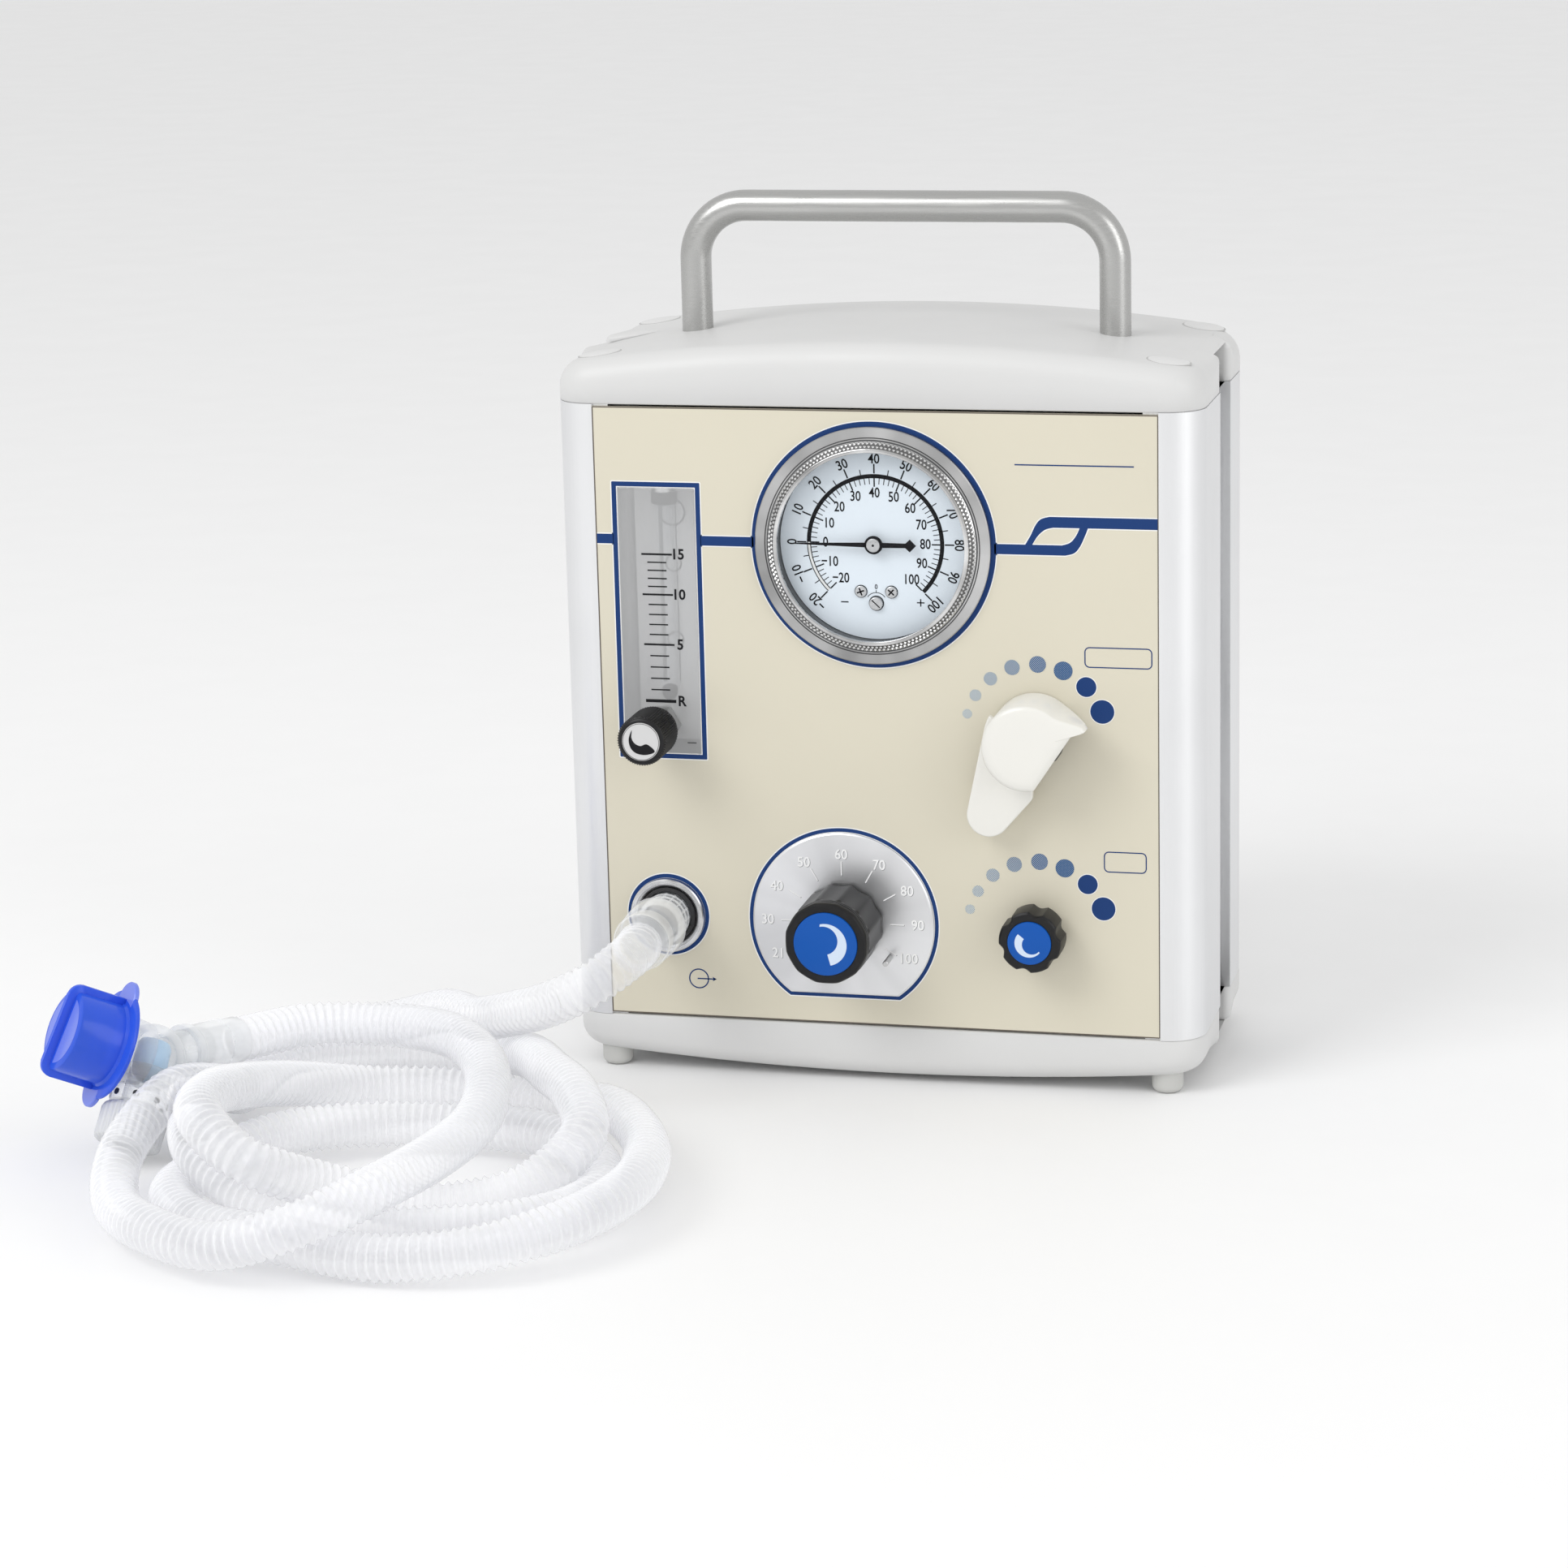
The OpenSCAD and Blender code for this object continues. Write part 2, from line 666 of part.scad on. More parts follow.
module gauge_movement() color([0.78, 0.66, 0.36]) {
    difference() {
        union() {
            bar_y(0, gauge_z, movement_r, movement_y, case_back_y - case_wall);
            bar_y(0, gauge_z + zero_z, zero_boss_r, movement_y, movement_y + zero_boss_len);
            for (s = [-1, 1])
                bar_y(s * dial_screw_x, gauge_z + dial_screw_z, post_r, dial_y + dial_t, movement_y + post_in);
        }
        bar_y(0, gauge_z, needle_shaft_r + fit_gap, movement_y - 1, movement_y + needle_shaft_in + 1);
        bar_y(0, gauge_z + zero_z, zero_shaft_r + fit_gap, movement_y - 1, movement_y + zero_boss_len - 1);
        for (s = [-1, 1])
            bar_y(s * dial_screw_x, gauge_z + dial_screw_z, 0.8 + fit_gap, dial_y, dial_y + 4);
    }
}

// Pressure stem with the elbow that its riser tube enters
module gauge_stem() color([0.78, 0.66, 0.36]) {
    bar_y(0, gauge_z, stem_r - fit_gap, case_back_y - case_wall, riser_mid_y);
    translate([-elbow / 2, riser_mid_y - elbow / 2, gauge_z - elbow / 2]) cube(elbow);
}

// ---------------------------------------------------------------- flow meter

module flow_block() color([0.72, 0.74, 0.75, 0.55]) {
    difference() {
        translate([-flow_x - flow_block_w / 2, flow_front_y, flow_block_z])
            cube([flow_block_w, flow_block_t, flow_block_h]);
        translate([-flow_x, flow_axis_y, flow_seat_z]) cylinder(h = far, r = flow_bore_r);
        translate([-flow_x, flow_axis_y, flow_top_z - tube_plug_h])
            cylinder(h = far, r = tube_plug_r + fit_gap);
        bar_y(-flow_x, flow_knob_z, cartridge_r + fit_gap, flow_front_y - 1, flow_front_y + cartridge_step);
        bar_y(-flow_x, flow_knob_z, cartridge_nose_r + fit_gap, flow_front_y, flow_front_y + cartridge_depth);
        for (z = [flow_low_z, flow_high_z])
            bar_y(-flow_x, z, 1.5, flow_axis_y, flow_back_y + 1);
    }
}

module flow_tube_plug() color([0.15, 0.15, 0.16])
    translate([-flow_x, flow_axis_y, flow_top_z - tube_plug_h]) cylinder(h = tube_plug_h, r = tube_plug_r);

module flow_float() color([0.25, 0.25, 0.27])
    translate([-flow_x, flow_axis_y, flow_seat_z + 0.1]) {
        cylinder(h = float_h - float_r, r = float_r);
        translate([0, 0, float_h - float_r]) sphere(float_r);
    }

// Brass fittings behind the clear block, each with an elbow for its riser tube
module flow_fittings() color([0.80, 0.64, 0.32]) {
    flow_fitting(flow_low_z, riser_front_y);
    flow_fitting(flow_high_z, riser_rear_y);
}

module flow_fitting(z, y) {
    bar_y(-flow_x, z, fitting_r, flow_back_y, y);
    translate([-flow_x - elbow / 2, y - elbow / 2, z - elbow / 2]) cube(elbow);
}

module flow_cartridge() color([0.72, 0.72, 0.74]) {
    difference() {
        union() {
            bar_y(-flow_x, flow_knob_z, cartridge_r, flow_front_y, flow_front_y + cartridge_step);
            bar_y(-flow_x, flow_knob_z, cartridge_nose_r, flow_front_y, flow_front_y + cartridge_depth);
            translate([-flow_x, flow_front_y - 5, flow_knob_z]) rotate([-90, 0, 0])
                cylinder(h = 5, r = valve_nut_r, $fn = 6);
        }
        bar_y(-flow_x, flow_knob_z, flow_spindle_r + fit_gap, flow_front_y - 6, flow_front_y + 13);
    }
}

module flow_spindle() color([0.70, 0.70, 0.72])
    bar_y(-flow_x, flow_knob_z, flow_spindle_r, knob_front + knob_cap_t, flow_front_y + 12);

module flow_knob() color([0.07, 0.07, 0.08]) {
    difference() {
        bar_y(-flow_x, flow_knob_z, flow_knob_r, knob_front, flow_knob_back);
        bar_y(-flow_x, flow_knob_z, flow_spindle_r, knob_front + knob_cap_t, flow_knob_back + 1);
        bar_y(-flow_x, flow_knob_z, flow_knob_r - 2, knob_front - 1, knob_front + disc_t);
    }
}

module flow_knob_disc() color([0.90, 0.90, 0.91])
    bar_y(-flow_x, flow_knob_z, flow_knob_r - 2, knob_front, knob_front + disc_t);

// ---------------------------------------------------------------- oxygen control

module scale_plate() color([0.83, 0.84, 0.86]) {
    difference() {
        bar_y(fio2_x, row_z, plate_r, plate_y, panel_y);
        translate([fio2_x - far / 2, plate_y - 1, row_z - plate_flat - far]) cube([far, plate_t + 2, far]);
        bar_y(fio2_x, row_z, spindle_r + spindle_hole, plate_y - 1, panel_y + 1);
    }
}

module stop_pin() color([0.75, 0.75, 0.76])
    bar_y(fio2_x + stop_pin_dx, row_z - stop_pin_drop, stop_pin_r, plate_y - stop_pin_len, plate_y);

module fio2_spindle() color([0.70, 0.70, 0.72])
    bar_y(fio2_x, row_z, spindle_r, knob_front + disc_t + knob_cap_t, panel_back + spindle_depth);

// Grip with shallow flutes round its back two thirds
module fluted_knob(x, z, r, flutes, flute_r, flute_in, y0, y1, turn) {
    difference() {
        bar_y(x, z, r, y0, y1);
        bar_y(x, z, spindle_r, y0 + knob_cap_t, y1 + 1);
        for (i = [0 : flutes - 1]) {
            a = i * 360 / flutes + turn;
            bar_y(x + (r + flute_r - flute_in) * cos(a), z + (r + flute_r - flute_in) * sin(a),
                flute_r, y0 + 2.5, y1 + 1);
        }
    }
}

module knob_disc(x, z, r, y0) bar_y(x, z, r, y0 - disc_t, y0);

module fio2_knob() color([0.07, 0.07, 0.08])
    fluted_knob(fio2_x, row_z, fio2_knob_r, 12, 5, 0.7, knob_front + disc_t, fio2_knob_back, 15);

module fio2_knob_disc() color([0.04, 0.27, 0.66])
    knob_disc(fio2_x, row_z, 10.2, knob_front + disc_t);

module blender_body() color([0.75, 0.76, 0.78]) {
    difference() {
        translate([fio2_x - 20, panel_back, row_z - 20]) cube([40, manifold_y0 - panel_back, 40]);
        bar_y(fio2_x, row_z, spindle_r + fit_gap, panel_back - 1, panel_back + spindle_depth + 1);
    }
}

// ---------------------------------------------------------------- pressure valves

module valve_nuts() color([0.72, 0.72, 0.74]) {
    for (z = [row_z, maxp_z])
        nut_y(valve_x, z, valve_nut_r, spindle_r + 0.7, nut_front_y, panel_y);
}

module valve_spindle(z) color([0.70, 0.70, 0.72])
    bar_y(valve_x, z, spindle_r, valve_knob_front + disc_t + knob_cap_t, panel_back + spindle_depth);

module maxp_spindle() valve_spindle(maxp_z);
module pip_spindle() valve_spindle(row_z);

module valve_knob(z, turn) color([0.07, 0.07, 0.08])
    fluted_knob(valve_x, z, valve_knob_r, 6, 4, 1.1, valve_knob_front + disc_t, valve_knob_back, turn);

module maxp_knob() valve_knob(maxp_z, 10);
module pip_knob() valve_knob(row_z, 12);

module maxp_knob_disc() color([0.04, 0.27, 0.66])
    knob_disc(valve_x, maxp_z, 6.7, valve_knob_front + disc_t);

module pip_knob_disc() color([0.04, 0.27, 0.66])
    knob_disc(valve_x, row_z, 6.7, valve_knob_front + disc_t);

module pip_valve() color([0.76, 0.77, 0.79]) {
    difference() {
        bar_y(valve_x, row_z, valve_body_r, panel_back, manifold_y0);
        bar_y(valve_x, row_z, spindle_r + fit_gap, panel_back - 1, panel_back + spindle_depth + 1);
    }
}

module maxp_valve() color([0.76, 0.77, 0.79]) {
    difference() {
        union() {
            bar_y(valve_x, maxp_z, valve_body_r, panel_back, riser_mid_y);
            translate([valve_x - valve_block / 2, riser_mid_y - valve_block / 2, maxp_z - valve_foot])
                cube([valve_block, valve_block, valve_foot + valve_head]);
        }
        bar_y(valve_x, maxp_z, spindle_r + fit_gap, panel_back - 1, panel_back + spindle_depth + 1);
    }
}

// Plan of a sector between two angles, out to a radius
module sector(r, from, to) {
    steps = ceil((to - from) / 30);
    polygon(concat([[0, 0]], [for (i = [0 : steps])
        let (a = from + (to - from) * i / steps) r * [cos(a), sin(a)]]));
}

// The cover's cup is open to the side that the knob leaves through
module maxp_cover() color([0.93, 0.93, 0.90]) {
    difference() {
        union() {
            translate([valve_x, cover_back, maxp_z]) rotate([90, 0, 0])
                linear_extrude(cover_back - cover_front) difference() {
                    circle(cover_out_r);
                    circle(cover_in_r);
                    sector(far, cover_open_from, cover_open_to);
                }
            translate([valve_x, cover_front + cover_face_t, maxp_z]) rotate([90, 0, 0])
                linear_extrude(cover_face_t) {
                    circle(cover_out_r);
                    polygon(cover_tab);
                }
            translate([cover_pin_x, tongue_y1, cover_pin_z]) rotate([90, 0, 0])
                linear_extrude(tongue_y1 - tongue_y0) difference() {
                    rotate(cover_arm_angle) {
                        polygon([[0, cover_boss_r], [cover_arm - 6, cover_in_r],
                            [cover_arm - 6, -cover_in_r + 1], [0, -cover_boss_r]]);
                        circle(cover_boss_r);
                    }
                    translate([cover_arm * cos(cover_arm_angle), cover_arm * sin(cover_arm_angle)])
                        circle(cover_in_r);
                    difference() {
                        sector(far, cover_arm_angle - 100, cover_arm_angle);
                        circle(sweep_in_r);
                    }
                }
            bar_y(cover_pin_x, cover_pin_z, cover_boss_r, tongue_y0, cover_back);
        }
        bar_y(cover_pin_x, cover_pin_z, cover_pin_r + fit_gap, tongue_y1 - 0.5, cover_back + 1);
    }
}

module cover_pin() color([0.70, 0.70, 0.72])
    bar_y(cover_pin_x, cover_pin_z, cover_pin_r, tongue_y1 - 0.3, panel_back);

// ---------------------------------------------------------------- gas path

module outlet_bezel() color([0.86, 0.86, 0.86])
    tube_y(-flow_x, row_z, bezel_ring_r, port_r + fit_gap, panel_y - 2.3, panel_y);

module outlet_seal() color([0.16, 0.16, 0.17])
    tube_y(-flow_x, row_z, port_r, outlet_r, port_y, port_y + 2);

module outlet_port() color([0.76, 0.77, 0.79])
    tube_y(-flow_x, row_z, port_r, outlet_r, port_y + 2, manifold_y0);

module manifold() color([0.72, 0.73, 0.75]) {
    difference() {
        translate([manifold_x0, manifold_y0, manifold_z0])
            cube([manifold_x1 - manifold_x0, manifold_y1 - manifold_y0, manifold_z1 - manifold_z0]);
        translate([manifold_x0 - 1, riser_mid_y, row_z]) rotate([0, 90, 0])
            cylinder(h = manifold_x1 - manifold_x0 - 10, r = drill_r);
        bar_y(-flow_x, row_z, drill_r, manifold_y0 - 1, riser_mid_y);
        for (p = riser_places) translate([p.x, p.y, row_z]) cylinder(h = 20, r = riser_bore_r);
    }
}

module manifold_posts() color([0.70, 0.70, 0.72]) {
    for (x = [post_x0, post_x1]) translate([x, riser_mid_y, floor_z])
        cylinder(h = manifold_z0 - floor_z, r = post_big_r);
}

module riser_tubes() color([0.80, 0.82, 0.86]) {
    for (p = riser_places) translate([p.x, p.y, manifold_z1]) difference() {
        cylinder(h = p.z - manifold_z1, r = riser_r);
        translate([0, 0, -1]) cylinder(h = p.z - manifold_z1 + 2, r = riser_bore_r);
    }
}

// A gas inlet: neck to the manifold, hexagon outside the panel, threaded spigot
module gas_inlet(x, thread_r, hex_r, bore) {
    difference() {
        union() {
            bar_y(x, row_z, inlet_neck_r, manifold_y1, rear_panel_y);
            translate([x, rear_panel_y, row_z]) rotate([-90, 0, 0]) cylinder(h = inlet_hex_h, r = hex_r, $fn = 6);
            bar_y(x, row_z, thread_r, rear_panel_y + inlet_hex_h, half_d + stand_out);
        }
        bar_y(x, row_z, bore, rear_panel_y + inlet_hex_h, half_d + stand_out + 1);
        bar_y(x, row_z, riser_bore_r, manifold_y1 - 1, rear_panel_y + inlet_hex_h + 1);
    }
}

module oxygen_inlet() color([0.80, 0.68, 0.40]) gas_inlet(-inlet_x, oxygen_r, 10, 3.6);
module air_inlet() color([0.80, 0.68, 0.40]) gas_inlet(inlet_x, air_r, 13, 5.5);

// ---------------------------------------------------------------- hose and its ends

module hose_connector() color([0.88, 0.90, 0.92, 0.7]) {
    difference() {
        union() {
            bar_y(-flow_x, row_z, connector_core_r, cuff_y1, port_y + connector_in);
            for (y = [cuff_y1 + 1 : 3.2 : port_y - 1.5])
                bar_y(-flow_x, row_z, connector_r, y, y + 1.2);
            bar_y(-flow_x, row_z, connector_r, port_y, port_y + connector_in);
            bar_y(-flow_x, row_z, cuff_r, cuff_y0, cuff_y1);
        }
        bar_y(-flow_x, row_z, connector_bore_r, cuff_y0 - 1, port_y + connector_in + 1);
    }
}

// One ring of the hose: sides points round p, square to t
function ring_at(p, t, r, n) =
    let (u = t / norm(t), a0 = cross(u, [0, 0, 1]),
        a = norm(a0) < 0.01 ? [1, 0, 0] : a0 / norm(a0), b = cross(a, u))
    [for (i = [0 : n - 1]) p + r * cos(360 * i / n) * a + r * sin(360 * i / n) * b];

function tangent_at(path, i) =
    i == 0 ? path[1] - path[0] :
    i == len(path) - 1 ? path[i] - path[i - 1] :
    path[i + 1] - path[i - 1];

module swept_tube(path, r, n, first_dir, last_dir) {
    last = len(path) - 1;
    points = [for (i = [0 : last]) each ring_at(path[i],
        i == 0 ? first_dir : i == last ? last_dir : tangent_at(path, i), r, n)];
    side_faces = [for (i = [0 : last - 1], j = [0 : n - 1])
        let (k = (j + 1) % n)
        each [[i * n + j, i * n + k, (i + 1) * n + k], [i * n + j, (i + 1) * n + k, (i + 1) * n + j]]];
    end_faces = [[for (j = [n - 1 : -1 : 0]) j], [for (j = [0 : n - 1]) last * n + j]];
    polyhedron(points, concat(side_faces, end_faces));
}

module hose() color([0.90, 0.92, 0.94, 0.5])
    swept_tube(hose_path, hose_r, hose_sides, [0, -1, 0], -hose_dir);

module hose_cuff() color([0.88, 0.91, 0.93, 0.6]) translate(hub) along(hose_dir) {
    difference() {
        translate([0, 0, hose_cuff_from]) cylinder(h = hub_to_hose - hose_cuff_from, r = hose_cuff_r);
        cylinder(h = spigot_len + 0.1, r = spigot_r + fit_gap);
        cylinder(h = far, r = connector_bore_r);
    }
}

module t_piece() color([0.88, 0.91, 0.93, 0.6]) translate(hub) {
    difference() {
        union() {
            sphere(hub_r);
            along(hose_dir) cylinder(h = spigot_len, r = spigot_r);
            along(patient_dir) cylinder(h = patient_port_len, r = patient_port_r);
            along(peep_dir) cylinder(h = peep_neck_len, r = peep_neck_r);
        }
        along(patient_dir) translate([0, 0, 6]) cylinder(h = far, r = patient_port_bore_r);
        along(hose_dir) translate([0, 0, 6]) cylinder(h = far, r = connector_bore_r);
        along(peep_dir) translate([0, 0, 6]) cylinder(h = far, r = connector_bore_r);
    }
}

module patient_cap() color([0.16, 0.32, 0.92, 0.8]) translate(hub) along(patient_dir) {
    difference() {
        union() {
            translate([0, 0, cap_from]) cylinder(h = cap_flange_t, r = cap_flange_r);
            translate([0, 0, cap_from]) cylinder(h = cap_len - cap_from, r = cap_out_r);
            translate([-cap_fin_w / 2, -cap_fin_t / 2, cap_from])
                cube([cap_fin_w, cap_fin_t, cap_len + cap_fin_out - cap_from]);
            for (s = [-1, 1]) translate([s * (cap_flange_r - 3), 0, cap_from])
                cylinder(h = cap_flange_t, r = ear_r);
        }
        translate([0, 0, cap_from - 1]) cylinder(h = patient_port_len - cap_from + 1.2, r = cap_in_r);
    }
}

module peep_cap() color([0.80, 0.81, 0.82]) translate(hub) along(peep_dir) {
    difference() {
        translate([0, 0, peep_from]) cylinder(h = peep_len - peep_from, r = peep_r);
        translate([0, 0, peep_from - 1]) cylinder(h = peep_neck_len - peep_from + 1.2, r = peep_neck_r + fit_gap);
        translate([0, 0, peep_from]) cylinder(h = far, r = 2.5);
    }
}

top_cap();
bottom_cap();
left_profile();
right_profile();
front_panel();
rear_panel();
handle();
handle_nuts();
screw_plugs();
tie_screws();
feet();
gauge_flange();
gauge_bezel();
gauge_case();
gauge_window();
gauge_dial();
dial_screws();
zero_screw();
gauge_needle();
gauge_movement();
gauge_stem();
flow_block();
flow_tube_plug();
flow_float();
flow_fittings();
flow_cartridge();
flow_spindle();
flow_knob();
flow_knob_disc();
scale_plate();
stop_pin();
fio2_spindle();
fio2_knob();
fio2_knob_disc();
blender_body();
valve_nuts();
maxp_valve();
maxp_spindle();
maxp_knob();
maxp_knob_disc();
maxp_cover();
cover_pin();
pip_valve();
pip_spindle();
pip_knob();
pip_knob_disc();
outlet_bezel();
outlet_seal();
outlet_port();
manifold();
manifold_posts();
riser_tubes();
oxygen_inlet();
air_inlet();
hose_connector();
hose();
hose_cuff();
t_piece();
patient_cap();
peep_cap();
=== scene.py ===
import math

import bmesh
import bpy
from mathutils import Matrix, Vector


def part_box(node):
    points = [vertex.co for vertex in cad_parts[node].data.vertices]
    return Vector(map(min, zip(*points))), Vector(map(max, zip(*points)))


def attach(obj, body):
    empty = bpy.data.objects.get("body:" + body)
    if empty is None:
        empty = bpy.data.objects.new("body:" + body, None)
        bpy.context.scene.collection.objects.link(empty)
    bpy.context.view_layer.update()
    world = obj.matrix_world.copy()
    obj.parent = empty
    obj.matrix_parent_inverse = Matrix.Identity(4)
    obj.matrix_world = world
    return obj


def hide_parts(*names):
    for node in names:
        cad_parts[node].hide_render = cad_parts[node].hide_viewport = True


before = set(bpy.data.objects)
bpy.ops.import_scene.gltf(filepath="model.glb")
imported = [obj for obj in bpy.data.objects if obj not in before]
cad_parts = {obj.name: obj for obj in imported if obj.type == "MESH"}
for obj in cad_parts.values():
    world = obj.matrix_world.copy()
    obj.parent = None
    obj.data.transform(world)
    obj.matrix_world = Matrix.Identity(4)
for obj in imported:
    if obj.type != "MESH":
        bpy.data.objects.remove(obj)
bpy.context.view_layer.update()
mm = 0.001


# places from the frame, in millimetres

def boxOf(node):
    low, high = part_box(node)
    return low / mm, high / mm


def middleOf(node):
    low, high = boxOf(node)
    return (low + high) / 2


panelLow, panelHigh = boxOf("front_panel")
panelFront = panelLow.y
capHigh = boxOf("top_cap")[1]
gauge = middleOf("gauge_flange")
fio2 = middleOf("fio2_spindle")
maxp = middleOf("maxp_spindle")
pip = middleOf("pip_spindle")
flow = middleOf("flow_spindle")
outlet = middleOf("outlet_bezel")


# making meshes

def finishMesh(name, bm, material, body, sharp=35):
    # sharp is the angle past which an edge stays crisp
    bmesh.ops.remove_doubles(bm, verts=bm.verts, dist=1e-7)
    bmesh.ops.recalc_face_normals(bm, faces=bm.faces)
    mesh = bpy.data.meshes.new(name)
    bm.to_mesh(mesh)
    bm.free()
    mesh.shade_smooth()
    mesh.set_sharp_from_angle(angle=math.radians(sharp))
    for m in (material if isinstance(material, list) else [material]):
        mesh.materials.append(m)
    piece = bpy.data.objects.new(name, mesh)
    bpy.context.collection.objects.link(piece)
    if body:
        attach(piece, body)
    return piece


def addVerts(bm, points):
    return [bm.verts.new((p[0] * mm, p[1] * mm, p[2] * mm)) for p in points]


def ringPoints(middle, side, other, radius, steps):
    # points round a circle in the plane of side and other
    angles = [2 * math.pi * i / steps for i in range(steps)]
    return [middle + (side * math.cos(a) + other * math.sin(a)) * radius for a in angles]


def bridge(bm, ringA, ringB):
    n = len(ringA)
    for i in range(n):
        j = (i + 1) % n
        bm.faces.new((ringA[i], ringA[j], ringB[j], ringB[i]))


def addTube(bm, rings):
    # rings joined in order, with a face over each end
    for a, b in zip(rings, rings[1:]):
        bridge(bm, a, b)
    bm.faces.new(rings[0])
    bm.faces.new(rings[-1])


def fillRings(bm, rings):
    # a flat face inside one ring, or between an edge ring and the rings of its holes
    edges = []
    for ring in rings:
        edges += [bm.edges.new((ring[i], ring[(i + 1) % len(ring)])) for i in range(len(ring))]
    bmesh.ops.triangle_fill(bm, use_beauty=True, use_dissolve=False, edges=edges)


def joinRings(bm, rings, closed=False):
    # neighbouring rings are joined; a ring of one point closes an end
    pairs = list(zip(rings, rings[1:]))
    if closed:
        pairs.append((rings[-1], rings[0]))
    for a, b in pairs:
        if len(a) > 1 and len(b) > 1:
            bridge(bm, a, b)
        elif len(a) + len(b) > 2:
            tip, ring = (a[0], b) if len(a) == 1 else (b[0], a)
            for i in range(len(ring)):
                bm.faces.new((tip, ring[i], ring[(i + 1) % len(ring)]))


def addLathe(bm, profile, place, axis=(0, 1, 0), steps=96, closedProfile=False, start=None):
    # profile holds (radius, distance along axis) pairs; a radius of 0 closes an end
    axis = Vector(axis).normalized()
    side = Vector(start) if start else axis.orthogonal()
    side = (side - axis * side.dot(axis)).normalized()
    other = axis.cross(side)
    place = Vector(place)
    rings = []
    for radius, along in profile:
        middle = place + axis * along
        points = ringPoints(middle, side, other, radius, steps) if radius > 0 else [middle]
        rings.append(addVerts(bm, points))
    joinRings(bm, rings, closedProfile)


def addGrip(bm, rings, place, dent, axis=(0, 1, 0), start=(1, 0, 0), steps=144):
    # a turned shape with dents in its side; rings hold (radius, distance along axis, share of the dent)
    # and angles run counter-clockwise seen from the front
    axis, place, side = Vector(axis).normalized(), Vector(place), Vector(start)
    side = (side - axis * side.dot(axis)).normalized()
    other = side.cross(axis)
    made = []
    for radius, along, share in rings:
        middle = place + axis * along
        points = [] if radius > 0 else [middle]
        for i in range(steps if radius > 0 else 0):
            a = 2 * math.pi * i / steps
            reach = radius - share * dent(math.degrees(a))
            points.append(middle + (side * math.cos(a) + other * math.sin(a)) * reach)
        made.append(addVerts(bm, points))
    joinRings(bm, made)


def dents(count, depth, width, firstAngle=0.0):
    # even round dents, each width degrees wide
    step = 360 / count

    def depthAt(angle):
        off = abs((angle - firstAngle + step / 2) % step - step / 2) / (width / 2)
        return depth * math.cos(off * math.pi / 2) if off < 1 else 0.0
    return depthAt


def insetLoop(loop, amount):
    # moves every point of a counter-clockwise outline inward
    moved = []
    for i, point in enumerate(loop):
        before, after = loop[i - 1], loop[(i + 1) % len(loop)]
        a = Vector((point[0] - before[0], point[1] - before[1])).normalized()
        b = Vector((after[0] - point[0], after[1] - point[1])).normalized()
        normal = Vector((-a.y - b.y, a.x + b.x))
        if normal.length < 1e-6:
            normal = Vector((-a.y, a.x))
        normal.normalize()
        reach = amount / max(abs(normal.x * -a.y + normal.y * a.x), 0.5)
        moved.append((point[0] + normal.x * reach, point[1] + normal.y * reach))
    return moved


def addSoftPlate(bm, loop, yFront, yBack, edge):
    # a plate whose front edge is rounded
    apart = 0.01  # points nearer than this are one
    kept = [p for i, p in enumerate(loop) if math.dist(p, loop[i - 1]) > apart]
    steps = [(edge, 0), (edge * 0.5, edge * 0.13), (edge * 0.13, edge * 0.5), (0, edge)]  # inset and depth
    rings = []
    for inset, depth in steps:
        rings.append(addVerts(bm, [(x, yFront + depth, z) for x, z in insetLoop(kept, inset)]))
    rings.append(addVerts(bm, [(x, yBack, z) for x, z in kept]))
    fillRings(bm, [rings[0]])
    fillRings(bm, [rings[-1]])
    for pair in zip(rings, rings[1:]):
        bridge(bm, *pair)


def lathe(name, profile, place, material, body, axis=(0, 1, 0), steps=96, closedProfile=False, sharp=35):
    bm = bmesh.new()
    addLathe(bm, profile, place, axis, steps, closedProfile)
    return finishMesh(name, bm, material, body, sharp)


def arc(centre, radius, fromDegrees, toDegrees, steps):
    points = []
    for i in range(steps + 1):
        a = math.radians(fromDegrees + (toDegrees - fromDegrees) * i / steps)
        points.append((centre[0] + radius * math.cos(a), centre[1] + radius * math.sin(a)))
    return points


def addPlate(bm, loops, yFront, yBack):
    # loops are closed outlines in x and z: the first is the edge, the others are holes
    pairs = []
    for loop in loops:
        pairs.append([addVerts(bm, [(x, y, z) for x, z in loop]) for y in (yFront, yBack)])
    fillRings(bm, [front for front, back in pairs])
    fillRings(bm, [back for front, back in pairs])
    for front, back in pairs:
        bridge(bm, front, back)


def plate(name, loops, yFront, yBack, material, body="root", sharp=35):
    bm = bmesh.new()
    addPlate(bm, loops, yFront, yBack)
    return finishMesh(name, bm, material, body, sharp)


def circleLoop(x, z, radius, steps=64):
    return arc((x, z), radius, 0, 360 * (steps - 1) / steps, steps - 1)


# materials

def newMaterial(name, color, roughness=0.5, metallic=0.0, **sockets):
    m = bpy.data.materials.new(name)
    m.use_nodes = True
    shader = m.node_tree.nodes["Principled BSDF"]
    shader.inputs["Base Color"].default_value = (*color, 1)
    shader.inputs["Roughness"].default_value = roughness
    shader.inputs["Metallic"].default_value = metallic
    for socket, value in sockets.items():
        shader.inputs[socket.replace("_", " ")].default_value = value
    return m, m.node_tree.nodes, m.node_tree.links, shader


